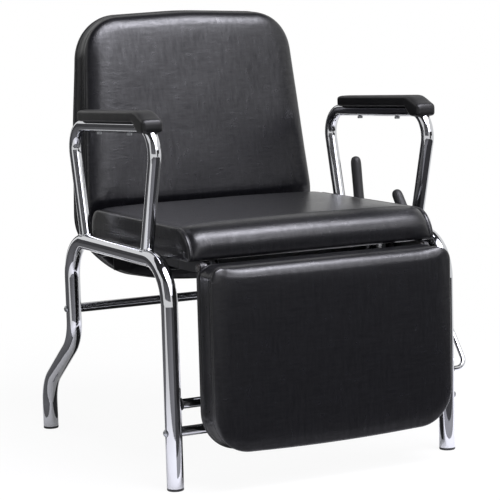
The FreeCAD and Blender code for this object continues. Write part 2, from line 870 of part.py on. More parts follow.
def lock_pin_place():
    """Place of the lock's pin on the leaned backrest."""
    lean = math.radians(back_lean)
    behind = lock_pin_behind * math.cos(lean) - lock_pin_below * math.sin(lean)
    below = lock_pin_behind * math.sin(lean) + lock_pin_below * math.cos(lean)
    return back_hinge_y + behind, back_hinge_height - below


def lock_origin():
    """Centre of the slot in the lock rod's blade at rest."""
    y, z = lock_pin_place()
    slope = math.radians(lock_slope)
    return y + lock_pin_rise * math.sin(slope), z + lock_pin_rise * math.cos(slope)


def sloped(shape):
    """Turn a piece of the lock, drawn level along Y, to the lock's slope."""
    y, z = lock_origin()
    placed = shape.copy()
    placed.rotate(Vector(0, y, z), Vector(1, 0, 0), -lock_slope)
    return placed


def lock_rod():
    """Sliding rod whose slotted blade takes the pin on the backrest."""
    y, z = lock_origin()
    start = y - lock_blade_length
    reach = lock_housing_start + lock_housing_length - lock_blade_length
    rod = Part.makeCylinder(lock_rod_d / 2, reach, Vector(0, start, z), Vector(0, -1, 0))
    half = lock_blade_height / 2
    nose = lock_blade_nose
    corners = [(start - nose, z - half), (y + nose, z - half), (y + nose, z + half),
               (start - nose, z + half)]
    blade = side_plate(corners, [nose] * 4, -lock_blade / 2, lock_blade)
    slot_d = lock_pin_d + lock_slot_play
    rise = lock_slot_travel / 2
    slot = block((-lock_blade, lock_blade), (y - slot_d / 2, y + slot_d / 2), (z - rise, z + rise))
    for end in (z - rise, z + rise):
        slot = slot.fuse(round_x(-lock_blade, lock_blade, y, end, slot_d))
    return sloped(rod.fuse(blade).cut(slot).removeSplitter())


def lock_housing():
    """Clamp housing of the lock, with the tube that the rod slides into."""
    y, z = lock_origin()
    rear = y - lock_housing_start
    front = rear - lock_housing_length
    half_w, half_h = lock_housing_width / 2, lock_housing_height / 2
    body = block((-half_w, half_w), (front, rear), (z - half_h, z + half_h))
    body = body.makeFillet(lock_housing_corner, edges_at(
        body, lambda p: abs(p.z - z) > half_h - 1e-3 and abs(p.x) > half_w - 1e-3))
    tube_r = half_w - lock_housing_corner
    forward = Vector(0, -1, 0)
    tube = Part.makeCylinder(tube_r, lock_tube_length, Vector(0, front, z), forward)
    bore_d = lock_rod_d + 2 * running_clearance
    depth = lock_housing_length + lock_stroke
    bore = Part.makeCylinder(bore_d / 2, depth, Vector(0, rear, z), forward)
    return sloped(body.fuse(tube).removeSplitter().cut(bore))


def lock_cheek(carries_shaft):
    """Plate from the rear seat bar to one side of the lock housing."""
    bar_front = rear_seat_bar_y - seat_bar_size / 2
    bar_rear = rear_seat_bar_y + seat_bar_size / 2
    under = seat_bottom - seat_bar_size
    high = seat_bottom - side_gap
    x = lock_housing_width / 2
    y, z = recline_shaft_y, recline_shaft_height
    corners = [(bar_front, high), (bar_front - cheek_reach / 2, high),
               (bar_front - cheek_reach, under), (bar_front - cheek_reach / 2, under - cheek_drop)]
    radii = [0, 0, ear_radius, ear_radius]
    if carries_shaft:
        corners += [(y + ear_radius, z - ear_radius), (y + ear_radius, under - side_gap)]
        radii += [ear_radius - end_flat, 0]
    else:
        corners += [(bar_rear, under - cheek_drop), (bar_rear, under - side_gap)]
        radii += [ear_radius, 0]
    corners.append((bar_front, under - side_gap))
    radii.append(0)
    cheek = side_plate(corners, radii, x, plate)
    if carries_shaft:
        cheek = cheek.cut(round_x(x, x + plate, y, z, lever_rod_d + 2 * running_clearance))
    return cheek


def lock_arm():
    """Two ears on the face of the backrest that hold the lock's pin."""
    face = back_face_y()
    y = back_hinge_y + lock_pin_behind
    z = back_hinge_height - lock_pin_below
    reach = lock_arm_half_height
    inner = lock_blade / 2 + lock_ear_gap
    radius = lock_ear_radius
    front = y - radius
    corners = [(face, z - reach), (face, z + reach), (front, z + radius), (front, z - radius)]
    rounding = radius - end_flat
    ear = side_plate(corners, [0, 0, rounding, rounding], inner, plate)
    half = lock_arm_half_width
    arm = block((-half, half), (face - plate, face), (z - reach, z + reach))
    arm = arm.fuse([ear, mirrored(ear)]).removeSplitter()
    return leaned(arm.cut(round_x(-half, half, y, z, lock_pin_d)))


def lock_pin():
    """Headed pin across the ears of the lock arm."""
    y, z = lock_pin_place()
    side = lock_blade / 2 + lock_ear_gap + plate
    pin = round_x(-side - link_pin_head, side, y, z, lock_pin_d)
    head = round_x(side, side + link_pin_head, y, z, link_pin_head_d)
    return pin.fuse(head).removeSplitter()


def build():
    """All the pieces by name."""
    rail_holes = {1: (bush_d(lever_rod_d), True), -1: (bush_d(journal_d), False)}
    pieces = {}

    def pair(name, piece):
        pieces[name + "_left"] = piece
        pieces[name + "_right"] = mirrored(piece)

    pieces["side_frame_left"] = side_frame(*rail_holes[1])
    pieces["side_frame_right"] = mirrored(side_frame(*rail_holes[-1]))
    pair("arm_loop", arm_loop())
    pair("armrest_pad", armrest_pad())
    pieces["armrest_screws"] = armrest_screws()
    pair("foot_cap_front", foot_cap(frame_half_width, 0))
    pair("foot_cap_rear", foot_cap(frame_half_width, foot_span))
    pieces["front_cross_bar"] = cross_bar(0, front_bar_height)
    pieces["rear_cross_bar"] = cross_bar(rear_leg_y, rear_bar_height)
    pieces["cross_bar_screws"] = cross_bar_screws()
    pieces["front_seat_bar"] = seat_bar(front_seat_bar_y)
    pieces["rear_seat_bar"] = seat_bar(rear_seat_bar_y)
    pieces["seat_board"] = seat_board()
    pieces["seat_screws"] = seat_screws()
    pieces["seat_cushion"] = seat_cushion()
    pieces["seat_back_bracket_left"] = seat_back_bracket(True)
    pieces["seat_back_bracket_right"] = mirrored(seat_back_bracket(False))
    pieces["back_pivot_bolts"] = back_pivot_bolts()
    pieces["back_cushion"] = back_cushion()
    pieces["back_board"] = back_board()
    pieces["back_rear_panel"] = back_rear_panel()
    pair("back_hinge_plate", back_hinge_plate())
    pair("legrest_bracket", legrest_bracket())
    pieces["legrest_pivot_bolts"] = legrest_pivot_bolts()
    pieces["legrest_cushion"] = legrest_cushion()
    pieces["legrest_board"] = legrest_board()
    pair("legrest_hinge_arm", legrest_hinge_arm())
    pair("legrest_horn", legrest_horn())
    horn_pin = link_pin(legrest_hinge_y + crank_radius, legrest_hinge_height)
    pieces["horn_pins"] = both_sides(horn_pin)
    pair("lift_link", lift_link())
    pair("crank", crank())
    pieces["crank_pins"] = both_sides(link_pin(crank_radius, shaft_height))
    pieces["legrest_shaft"] = legrest_shaft()
    pieces["shaft_bush_left"] = shaft_bush(lever_rod_d, frame_tube_d)
    pieces["shaft_bush_right"] = mirrored(shaft_bush(journal_d, journal_length))
    pieces["legrest_lever_rod"] = legrest_lever_rod()
    pieces["legrest_lever_grip"] = grip(0, shaft_height, legrest_lever_length, legrest_lever_angle)
    pieces["recline_lever_rod"] = recline_lever_rod()
    pieces["recline_lever_grip"] = grip(recline_shaft_y, recline_shaft_height,
                                        recline_lever_length, recline_lever_angle)
    pieces["lock_rod"] = lock_rod()
    pieces["lock_housing"] = lock_housing()
    pieces["lock_cheek_left"] = lock_cheek(True)
    pieces["lock_cheek_right"] = mirrored(lock_cheek(False))
    pieces["lock_arm"] = lock_arm()
    pieces["lock_pin"] = lock_pin()
    return pieces


def main():
    """Write one file per piece, with the origin moved to its place on the floor."""
    os.makedirs("parts", exist_ok=True)
    for name, shape in build().items():
        shape = shape.copy()
        shape.translate(Vector(0, -foot_span / 2, 0))
        shape.exportStep("parts/" + name + ".step")


main()
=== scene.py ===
"""Dressing of a reclining shampoo chair with a lifting legrest.

Builds the upholstered cushions with their seams and stitches, the moulded armrest pads,
the rubber grips and the weld beads round the chair's metalwork, gives every surface its
finish, and sets the stage. Lengths are metres; +Z is up and the sitter faces -Y.
"""

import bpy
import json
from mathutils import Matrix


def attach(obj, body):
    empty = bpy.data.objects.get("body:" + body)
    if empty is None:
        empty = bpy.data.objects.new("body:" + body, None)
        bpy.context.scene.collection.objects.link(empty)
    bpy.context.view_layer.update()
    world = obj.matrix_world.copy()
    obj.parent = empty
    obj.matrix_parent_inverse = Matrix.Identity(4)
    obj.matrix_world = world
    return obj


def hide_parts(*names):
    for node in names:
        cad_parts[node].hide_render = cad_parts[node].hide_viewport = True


bl_info = {
    "name": "Shampoo Chair Dressing",
    "version": (1, 0, 0),
    "blender": (4, 5, 0),
    "location": "View3D > Sidebar > Chair",
    "description": "Builds the cushions, seams, pads, grips and finishes of a shampoo chair",
    "category": "Object",
}

import json
import math
from functools import partial

import bmesh
import bpy
import numpy as np
from bpy.props import FloatProperty, FloatVectorProperty, PointerProperty
from bpy.types import Operator, Panel, PropertyGroup
from mathutils import Matrix, Vector, noise
from mathutils.kdtree import KDTree

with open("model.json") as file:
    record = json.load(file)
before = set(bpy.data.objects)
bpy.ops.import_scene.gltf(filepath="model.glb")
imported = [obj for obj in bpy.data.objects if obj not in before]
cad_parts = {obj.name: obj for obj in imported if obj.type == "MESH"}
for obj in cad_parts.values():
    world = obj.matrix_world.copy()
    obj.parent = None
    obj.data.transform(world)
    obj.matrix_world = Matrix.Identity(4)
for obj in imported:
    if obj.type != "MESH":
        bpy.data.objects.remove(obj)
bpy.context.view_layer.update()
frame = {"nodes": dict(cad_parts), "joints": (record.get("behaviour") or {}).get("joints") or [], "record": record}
JOINTS = {joint["name"]: joint for joint in frame["joints"]}
MM = 0.001

# Rings and seams of the cushions
OUTLINE_SPACING = 4.0 * MM
ARC_STEPS = 48
FACE_SHRINKS = tuple(0.02 + 0.03 * step for step in range(33))
ROLL_SHARES = (0.75, 0.5, 0.25)
FACE_ROWS = len(FACE_SHRINKS) + len(ROLL_SHARES)
EDGE_STEPS = tuple(step / 15 for step in range(15, 0, -1))
# How the rings crowd towards a panel's edge, and the most of its half width that its roll takes
EDGE_CROWDING = 1.25
DEEPEST_SHARE = 0.75
STRIP_SHARES = (0.3, 0.5, 0.7)
BOXING_PULL = 1.6 * MM
# How far apart the foam's swells and dips lie, and how high they are
BACK_BUMPS = (110 * MM, 0.8 * MM)
SEAT_BUMPS = (120 * MM, 0.9 * MM)
LEGREST_BUMPS = (100 * MM, 0.6 * MM)
STITCH_SIDES = 6
# Place along a stitch and share of the thread's width there
STITCH_PROFILE = ((-0.5, 0.35), (-0.3, 1.0), (0.3, 1.0), (0.5, 0.35))

CLOTH_VOXEL = 6 * MM
CLOTH_PRESSURE = 4.0
CLOTH_FRAMES = 20
CLOTH_SMOOTHING = 24
CLOTH_NEIGHBOURS = 6
CLOTH_REACH = 0.5 * MM
SEAM_HOLD = 34 * MM

BACK_LEAN = 7.0
BACK_TOP_RADIUS = 92 * MM
BACK_CROWN_RADIUS = 900 * MM
BACK_LOW_RADIUS = 130 * MM
BACK_BOTTOM_RADIUS = 600 * MM
BACK_REAR = 91 * MM
BACK_NARROWING = (4 * MM, 11 * MM)
# Shares of the height between which the sides widen to the low flare
BACK_FLARE_SPAN = (0.88, 0.46)
# How far the edge faces sideways where the overhang sets in, and upward where the flare does
BACK_OVERHANG_SLOPES = (0.1, 0.9)
BACK_FLARE_SLOPES = (-0.8, -0.1)
TUCK_SHARE = 0.8
TUCK_REACH = 50 * MM
REAR_EDGE = 15.6 * MM
REAR_POCKET = 3.8 * MM
# Distance in from the edge and depth under the rear of each ring of the rim
BACK_RIM = ((0.8 * MM, 1.2 * MM), (3 * MM, 0.2 * MM), (8 * MM, 0.0),
            (REAR_EDGE - 1 * MM, 0.3 * MM), (REAR_EDGE, 2 * MM), (REAR_EDGE, REAR_POCKET))
BACK_REAR_SHRINKS = (0.7, 0.35, 0.05)

SEAT_LOW_RADIUS = 7 * MM
SEAT_REAR_RADIUS = 34 * MM
SEAT_FOOT = 14 * MM
SEAT_FULL_SHARE = 0.75
SEAT_SIDE_ROLL = 18 * MM
SEAT_SIDE_DOME = 1.0 * MM
SEAT_SWELL_REACH = 9 * MM
SEAT_BUMP_FADE = 50 * MM
# Distances of the top panel's rings from the inner edge of its seam
SEAT_SPANS = [span * MM for span in (4, 9, 15, 22, 31, 43, 60, 85, 120, 165, 215)]
SEAT_LINING_EDGE = 24 * MM
SEAT_STITCH_END = 4 * MM

LEGREST_BOTTOM_RADIUS = 4.0
LEGREST_BOTTOM_CUT = 2 * MM
# How far the edge faces upward where the roll over the top sets in
LEGREST_TOP_SLOPES = (0.3, 0.95)
LEGREST_ROLL_FADE = 70 * MM
LEGREST_BOARD_TOP = 408 * MM
LEGREST_RIM_WIDTH = 24 * MM
# Distance in from the edge and depth under the rear of each ring of the rim
LEGREST_RIM = ((0.5 * MM, 1.2 * MM), (2 * MM, 0.3 * MM), (6 * MM, 0.0), (12.5 * MM, 0.0),
               (15 * MM, 0.0), (LEGREST_RIM_WIDTH, 0.0))
LEGREST_REAR_SHRINKS = (0.8, 0.5, 0.2, 0.03)
LEGREST_LINING_EDGE = 20 * MM
LUG_CLEARANCE = 0.7 * MM
LUG_FADE = 2.5 * MM
# A face is lined if it lies this near to the plane of the underside or rear
SEAT_LINING_DEPTH = 0.4 * MM
LEGREST_LINING_DEPTH = 0.2 * MM

PAD_SIDES = 40
PAD_SQUARENESS = 5.0
PAD_CROWN = 1.2 * MM
PAD_STATIONS = 45
PAD_END = 12 * MM
PAD_NOSE_RISE = 4 * MM
# Distance from a pad's end and how far the section is drawn in there
PAD_ENDS = ((0.0, 9.0 * MM), (0.7 * MM, 5.0 * MM), (2.2 * MM, 2.2 * MM), (4.5 * MM, 0.7 * MM),
            (8.0 * MM, 0.0))
PAD_REAR_SHARE = 0.6
# Where the nose's upper and lower slopes start and end, from its tip and from its rear end
PAD_UPPER_SLOPE = (-4 * MM, 6 * MM)
PAD_LOWER_SLOPE = (-8 * MM, 12 * MM)

GRIP_SIDES = 40
# Distance from a grip's top, or back from its foot, and share of its radius there
GRIP_TOP = ((0.0, 0.12), (0.4, 0.3), (1.8, 0.58), (4.5, 0.8), (8.5, 0.93), (14, 0.985), (22, 1.0),
            (40, 0.99), (60, 0.975), (80, 0.985))
GRIP_FOOT = ((10, 1.0), (7.5, 1.0), (6.5, 1.07), (3, 1.09), (1, 1.05), (0, 0.95))
GRIP_HOLLOW = 2 * MM
LEGREST_LEVER_ANGLE = 37.9
RECLINE_LEVER_ANGLE = 7.4

ARM_FRONT_FOOT = -216 * MM
ARM_REAR_FOOT = 79 * MM
ARM_TUBE_RADIUS = 12.7 * MM
RAIL_X = 300 * MM
RAIL_RADIUS = 16 * MM
RAIL_HEIGHT = 428 * MM
WELD_RADIUS = 2.2 * MM
WELD_STEPS = 96
WELD_RIPPLES = 24
WELD_RIPPLE_SHARE = 0.14
WELD_SIDES = 10
SIDES = (("left", 1), ("right", -1))

WHITE = (1, 1, 1, 1)
WORLD_FILL = 0.45
FLOOR_REACH = 30.0
FLOOR_GLOW = 0.93
# Distances from the chair's middle between which its shadow fades
FLOOR_SHADOW = (0.7, 1.6)
SOFTBOX_COLOUR = "#F4F3FF"
# Share of a softbox that fades, across its width and its height
SOFTBOX_EDGES = (("X", 0.35), ("Y", 0.8))
CAMERA_AZIMUTH = -26.76
CAMERA_PITCH = 7.4
CAMERA_ROLL = -1.62
CAMERA_LENS = 140.38
CAMERA_SENSOR = 36.0
CAMERA_PLACE = Vector((-1.76506, -3.56185, 0.90977))
# Name, place, aim, width, height and power of each softbox
STUDIO_LIGHTS = (
    ("overhead_softbox", (0.3, -1.15, 2.35), (0.1, -0.35, 0.45), 2.4, 1.5, 190.0),
    ("high_front_softbox", (0.7, -2.6, 2.5), (0.0, 0.0, 0.6), 2.4, 1.4, 53.0),
    ("front_softbox", (0.9, -3.6, 1.9), (0.0, 0.0, 0.6), 2.2, 1.3, 46.0),
)
FLAG_LIFT = 2 * MM
FLAG_SHADE = 0.8
# Name, colour, height and corners of each card that lies on the floor or hangs level
LEVEL_FLAGS = (
    ("front_floor_flag", "#141414", FLAG_LIFT,
     ((-0.3, -0.6), (3.4, -0.6), (2.2, -2.9), (-0.3, -3.6))),
    ("foot_floor_flag", "#8A8A8A", FLAG_LIFT,
     ((-0.3, -0.43), (1.6, -0.43), (1.6, -0.6), (-0.3, -0.6))),
    # Painted shade: a dark card under the chair, seen only in reflections, darkens the shadowed floor there
    ("under_floor_flag", "#303030", FLAG_LIFT,
     ((-0.2, -0.34), (0.2, -0.34), (0.2, 0.4), (-0.2, 0.4))),
    ("near_floor_flag", "#6E6E6E", FLAG_LIFT,
     ((-2.9, -3.3), (-0.3, -3.3), (-0.3, -0.75), (-2.9, -0.75))),
    ("left_floor_flag", "#6E6E6E", FLAG_LIFT,
     ((-3.4, 0.0), (-0.42, 0.0), (-0.42, 3.2), (-3.4, 3.2))),
    ("left_ceiling_flag", "#3A3A3A", 3.4,
     ((-4.5, -4.8), (-0.9, -4.8), (-0.9, 1.3), (-4.5, 1.3))),
    ("ceiling_flag", "#3A3A3A", 3.0, ((-2.5, -0.7), (2.5, -0.7), (2.5, 1.3), (-2.5, 1.3))),
)
# Name, colour, two ends, foot and top of each upright card
UPRIGHT_FLAGS = (
    ("front_standing_flag", "#303030", (0.9, -3.7), (2.3, -3.07), 0.0, 1.3),
    ("front_hanging_flag", "#303030", (2.3, -3.07), (3.8, -2.4), 0.55, 1.3),
    ("left_standing_flag", "#505050", (-3.2, 0.4), (-1.2, 3.6), 0.0, 1.2),
    ("camera_side_flag", "#808080", (-4.3, -1.2), (-0.5, -4.8), 0.55, 3.6),
    ("rear_standing_flag", "#3A3A3A", (-0.4, 4.2), (1.6, 4.2), 0.0, 2.0),
    ("rear_hanging_flag", "#3A3A3A", (0.6, 4.3), (3.6, 4.3), 1.6, 3.2),
)


def linear(hex_colour):
    """Linear RGB of an sRGB hex colour."""
    channels = [int(hex_colour[start:start + 2], 16) / 255 for start in (1, 3, 5)]
    return [c / 12.92 if c <= 0.04045 else ((c + 0.055) / 1.055) ** 2.4 for c in channels]


def size(name, description, millimetres):
    """Length property, given in millimetres."""
    return FloatProperty(name=name, description=description, default=millimetres * MM,
                         unit="LENGTH", precision=4)


def colour(name, description, hex_colour):
    """Colour property, given as an sRGB hex value."""
    return FloatVectorProperty(name=name, description=description, default=linear(hex_colour),
                               subtype="COLOR", size=3, min=0.0, max=1.0)


class SeamSizes(PropertyGroup):
    """Sewn seams of the cushions."""
    groove: size("Groove", "How far a seam is pulled into the foam", 2.2)
    welt: size("Welt", "Width of the raised strip between a seam and its topstitch", 8.0)
    welt_rise: size("Welt rise", "How far that strip stands proud", 0.9)
    topstitch: size("Topstitch", "How far the topstitch line is pulled in", 1.1)
    stitch_pitch: size("Stitch pitch", "Distance from stitch to stitch", 5.0)
    stitch_length: size("Stitch length", "Length of the thread that shows in a stitch", 3.7)
    thread: size("Thread", "Diameter of the thread", 0.9)


class BackSizes(PropertyGroup):
    """Backrest cushion, upright about its hinge."""
    above_hinge: size("Above hinge", "Height of the top seam above the hinge", 486.0)
    below_hinge: size("Below hinge", "Depth of the bottom edge below the hinge", 82.0)
    top_half_width: size("Top half width", "Half width at the top corners", 229.0)
    low_half_width: size("Low half width", "Half width at the low corners", 268.0)
    top_crown: size("Top crown", "Rise of the top edge at mid width", 9.0)
    low_corner_rise: size("Low corner rise", "Rise of the bottom edge at the low corners", 58.0)
    front: size("Front", "Distance of the front seam behind the hinge", 49.0)
    boxing: size("Boxing", "Width of the strip between the front and rear seams", 39.5)
    top_flare: size("Top flare", "How much higher the rear seam runs than the front one", 5.5)
    high_flare: size("High flare", "How much wider the rear seam runs near the top", 7.0)
    low_flare: size("Low flare", "How much wider the rear seam runs near the seat", 14.0)
    roll: size("Edge roll", "How far the front panel swells past its seam", 27.0)
    roll_width: size("Edge roll width", "Width over which the swelling rounds off", 33.0)
    overhang: size("Overhang", "How far the front panel stands out past its side seams", 5.0)
    dome: size("Dome", "Further swelling at the middle of the front panel", 1.0)
    tuck: size("Tuck", "Height above the hinge where the front turns in behind the seat", 104.0)
    swell: size("Swell", "Most that the pressed cloth may swell", 2.0)


class SeatSizes(PropertyGroup):
    """Seat cushion."""
    width: size("Width", "Width between the side seams", 528.0)
    front_low: size("Front low", "Front edge of the underside", -337.0)
    front_top: size("Front top", "Where the slanting front would meet the top", -331.0)
    rear: size("Rear", "Rear edge", 130.0)
    bottom: size("Bottom", "Height of the underside", 427.7)
    top: size("Top", "Height of the side seam", 487.5)
    front_radius: size("Front radius", "Radius of the rolled front edge at the seam", 56.0)
    top_swell: size("Top swell", "Swelling of the top panel just inside its seams", 4.0)
    front_swell: size("Front swell", "Swelling of the front's upper half inside its seams", 9.0)
    dome: size("Dome", "Further swelling at mid width", 2.0)
    swell: size("Swell", "Most that the pressed cloth may swell", 3.0)
    side_swell: size("Side swell", "Swelling of the side panels", 3.5)


class LegrestSizes(PropertyGroup):
    """Legrest cushion."""
    half_width: size("Half width", "Half width of the outline", 254.0)
    top: size("Top", "Height of the top edge", 423.0)
    bottom: size("Bottom", "Height of the bottom edge at mid width", 71.0)
    low_crown: size("Low crown", "Rise of the bottom edge at the low corners", 9.0)
    top_radius: size("Top radius", "Corner radius at the top", 26.0)
    low_radius: size("Low radius", "Corner radius at the bottom", 74.0)
    front: size("Front", "Position of the front seam", -406.5)
    boxing: size("Boxing", "Width of the strip between the front and rear seams", 55.5)
    flare: size("Flare", "How much larger the rear seam runs than the front one", 4.0)
    rear: size("Rear", "Position of the rear face", -348.7)
    roll: size("Edge roll", "How far the front panel swells past its seam", 7.0)
    roll_width: size("Edge roll width", "Width over which the swelling rounds off", 23.0)
    overhang: size("Overhang", "How far the front panel stands out past its side seams", 2.0)
    top_roll: size("Top roll", "Extra depth of the roll over the top edge", 20.0)
    dome: size("Dome", "Further swelling at the middle of the front panel", 0.5)
    swell: size("Swell", "Most that the pressed cloth may swell", 1.8)


class PadSizes(PropertyGroup):
    """Armrest pads on the arm tubes."""
    centre: size("Centre", "Distance of the arm tubes from the mid-plane", 297.0)
    width: size("Width", "Width of a pad", 43.0)
    nose: size("Nose", "Front end", -269.0)
    rear: size("Rear", "Rear end", 57.0)
    slope: size("Slope", "Length of the sloping nose", 42.0)
    above: size("Above", "Height of the pad's top over the tube's axis", 30.0)
    skirt: size("Skirt", "Height of the pad's lower edge over the tube's axis", 8.0)
    drop: size("Drop", "How far the nose hangs below the tube's axis", 12.0)
    tube_front: size("Tube front", "Front end of the tube's top run", -286.0)
    tube_front_height: size("Tube front height", "Height of the tube there", 677.0)
    tube_rear: size("Tube rear", "Rear end of the tube's top run", 136.0)
    tube_rear_height: size("Tube rear height", "Height of the tube there", 662.0)


class LeverSizes(PropertyGroup):
    """Hand levers and their grips."""
    side: size("Side", "Distance of the levers from the mid-plane", 348.0)
    legrest_length: size("Legrest lever", "Length of the legrest lever", 426.0)
    recline_length: size("Recline lever", "Length of the recline lever", 165.0)
    grip: size("Grip", "Length of a grip", 105.0)
    grip_radius: size("Grip radius", "Radius of a grip", 11.5)
    rod_radius: size("Rod radius", "Radius of the rod inside a grip", 5.0)


class ChairColours(PropertyGroup):
    """Colours of the chair's materials."""
    vinyl: colour("Vinyl", "Upholstery", "#0A0A0D")
    vinyl_worn: colour("Vinyl lights", "Upholstery where the grain is rubbed", "#0E0E12")
    chrome: colour("Chrome", "Plated tubes and rods", "#C6C7CA")
    zinc: colour("Zinc", "Plated screws and pins", "#A9ABAE")
    zinc_dull: colour("Dull zinc", "Plated screws and pins where they are dull", "#85878B")
    oxide: colour("Black oxide", "Pivot bolts", "#1C1A19")
    powder: colour("Powder coat", "Black brackets and links", "#0E0E10")
    pad: colour("Pad", "Moulded armrests", "#09090A")
    rubber: colour("Rubber", "Lever grips", "#0C0C0D")
    plastic: colour("Plastic", "Foot caps and bushes", "#121213")
    ply: colour("Plywood", "Boards", "#B48C5E")
    ply_grain: colour("Plywood grain", "Darker grain of the boards", "#8A6238")
    thread: colour("Thread", "Stitches", "#121214")
    lining: colour("Lining", "Cloth that closes the undersides", "#121213")
    # Painted shade: the hollows of the lining's emboss are coloured darker
    lining_hollow_shade: colour("Lining dots", "Hollows of that cloth's emboss", "#0B0B0C")
    floor: colour("Floor", "Studio floor", "#F4F4F4")


def sizes_of(context, group):
    """One of the chair's groups of sizes."""
    return getattr(context.scene, "chair_" + group)


# Materials


def set_inputs(node, inputs):
    """Set a node's inputs to values, or link them from sockets or nodes' first outputs."""
    for name, value in inputs.items():
        if isinstance(value, bpy.types.Node):
            value = value.outputs[0]
        if isinstance(value, bpy.types.NodeSocket):
            node.id_data.links.new(value, node.inputs[name])
        else:
            node.inputs[name].default_value = value


def add_node(tree, kind, inputs=None, **settings):
    """Add a shader node with its settings and inputs."""
    node = tree.nodes.new("ShaderNode" + kind)
    for name, value in settings.items():
        setattr(node, name, value)
    set_inputs(node, inputs or {})
    return node


def start_material(name):
    """New material, what adds a node to it, its shader and its place on the surface."""
    material = bpy.data.materials.new(name)
    material.use_nodes = True
    add = partial(add_node, material.node_tree)
    place = add("TexCoord").outputs["Object"]
    return material, add, material.node_tree.nodes["Principled BSDF"], place


def per_metre(millimetres):
    """Texture scale that gives a feature of a real size."""
    return 1.0 / (millimetres * MM)


def solid(rgb):
    """Colour with full alpha."""
    return (rgb[0], rgb[1], rgb[2], 1.0)


def vinyl_material(colours):
    """Calendered PVC upholstery vinyl, embossed with a fine leather grain.

    Gives a dark satin face whose soft highlights break up in the grain and in the
    shallow creases of cloth pulled over foam.
    """
    material, add, shader, place = start_material("calendered_upholstery_vinyl")
    # The real grain is about 1 mm wide; it is drawn at 2.6 mm, so that it shows
    warp = add("TexNoise", {"Vector": place, "Scale": per_metre(9.0), "Detail": 2.0})
    bent = add("MixRGB", {
        "Fac": 0.004, "Color1": place, "Color2": warp.outputs["Color"]}, blend_type="ADD")
    grain = add("TexVoronoi", {"Vector": bent, "Scale": per_metre(2.6)}, feature="DISTANCE_TO_EDGE")
    pebble = add("MapRange", {"Value": grain, "From Min": 0.02, "From Max": 0.28})
    # Short lines of the emboss run across and down the cloth in patches; the real ones are
    # 1 mm wide, and they are drawn at about 3 mm, so that they show
    lines = []
    for stretch, width in (((0.22, 1.0, 1.0), 6.5), ((1.0, 1.0, 0.18), 7.5)):
        along = add("Mapping", {"Vector": bent, "Scale": stretch})
        lines.append(add("TexNoise", {
            "Vector": along, "Scale": per_metre(width), "Detail": 3.0, "Roughness": 0.6}))
    level, upright = lines
    cloud = add("TexNoise", {
        "Vector": place, "Scale": per_metre(60.0), "Detail": 4.0, "Roughness": 0.6})
    patches = add("MapRange", {
        "Value": cloud, "From Min": 0.38, "From Max": 0.62, "To Min": 0.05, "To Max": 0.85})
    crossed = add("MixRGB", {"Fac": patches, "Color1": upright, "Color2": level})
    rubbed = add("MapRange", {"Value": crossed, "From Min": 0.5, "From Max": 0.72})
    tone = add("MixRGB", {
        "Fac": rubbed, "Color1": solid(colours.vinyl), "Color2": solid(colours.vinyl_worn)})
    rough = add("MapRange", {"Value": rubbed, "To Min": 0.31, "To Max": 0.25})
    # The tops of the emboss shine a little more than the pores between them
    shine = add("MapRange", {
        "Value": crossed, "From Min": 0.35, "From Max": 0.65, "To Min": 0.40, "To Max": 0.60})
    creases = add("TexNoise", {
        "Vector": place, "Scale": per_metre(38.0), "Detail": 5.0, "Roughness": 0.6})
    coarse = add("Bump", {"Height": creases, "Strength": 0.05, "Distance": 2.0 * MM})
    middle = add("Bump", {
        "Height": crossed, "Strength": 1.0, "Distance": 0.30 * MM, "Normal": coarse})
    fine = add("Bump", {
        "Height": pebble, "Strength": 0.12, "Distance": 0.3 * MM, "Normal": middle})
    set_inputs(shader, {"Base Color": tone, "Roughness": rough, "Specular IOR Level": shine,
                        "Normal": fine, "IOR": 1.5})
    return material


def chrome_material(colours):
    """Bright chrome plate on drawn steel tube.

    Gives a mirror with a cold tint, a trace of waviness from the bent tube under the
    plate, and faint cloudy patches from handling.
    """
    material, add, shader, place = start_material("bright_chrome_plate")
    wave = add("TexNoise", {"Vector": place, "Scale": per_metre(55.0), "Detail": 1.0})
    haze = add("TexNoise", {"Vector": place, "Scale": per_metre(14.0), "Detail": 4.0})
    rough = add("MapRange", {
        "Value": haze, "From Min": 0.35, "From Max": 0.75, "To Min": 0.035, "To Max": 0.085})
    bump = add("Bump", {"Height": wave, "Strength": 0.05, "Distance": 1.0 * MM})
    set_inputs(shader, {"Base Color": solid(colours.chrome), "Metallic": 1.0,
                        "Roughness": rough, "Normal": bump})
    return material


def zinc_material(colours):
    """Zinc plated steel screws and pins.

    Gives a pale grey metal with a soft sheen and faint turning marks.
    """
    material, add, shader, place = start_material("zinc_plated_steel")
    marks = add("TexNoise", {"Vector": place, "Scale": per_metre(1.5), "Detail": 3.0})
    rough = add("MapRange", {"Value": marks, "To Min": 0.22, "To Max": 0.40})
    tone = add("MixRGB", {
        "Fac": marks, "Color1": solid(colours.zinc_dull), "Color2": solid(colours.zinc)})
    set_inputs(shader, {"Base Color": tone, "Roughness": rough, "Metallic": 1.0})
    return material


# Name, size of the skin's grain and its height in millimetres, least and most roughness, IOR
SPECKLED = {
    # Powder coat has an orange peel skin about 1 mm across
    "powder": ("satin_powder_coat", 1.2, 0.08, 0.38, 0.48, 1.5),
    # Black oxide leaves a dark, slightly oily skin on steel
    "oxide": ("black_oxide_steel", 0.9, 0.05, 0.26, 0.38, 1.6),
    # Self-skinned polyurethane has a fine pebbled skin from its mould
    "pad": ("moulded_polyurethane_skin", 1.4, 0.10, 0.40, 0.50, 1.42),
    # Dipped rubber is dull, with small runs
    "rubber": ("dipped_rubber", 2.5, 0.12, 0.50, 0.62, 1.52),
    # Moulded polyethylene has a fine matt skin
    "plastic": ("moulded_polyethylene", 0.9, 0.06, 0.42, 0.55, 1.51),
    # Waxed polyester thread is slightly shiny
    "thread": ("waxed_polyester_thread", 0.8, 0.10, 0.42, 0.52, 1.55),
}


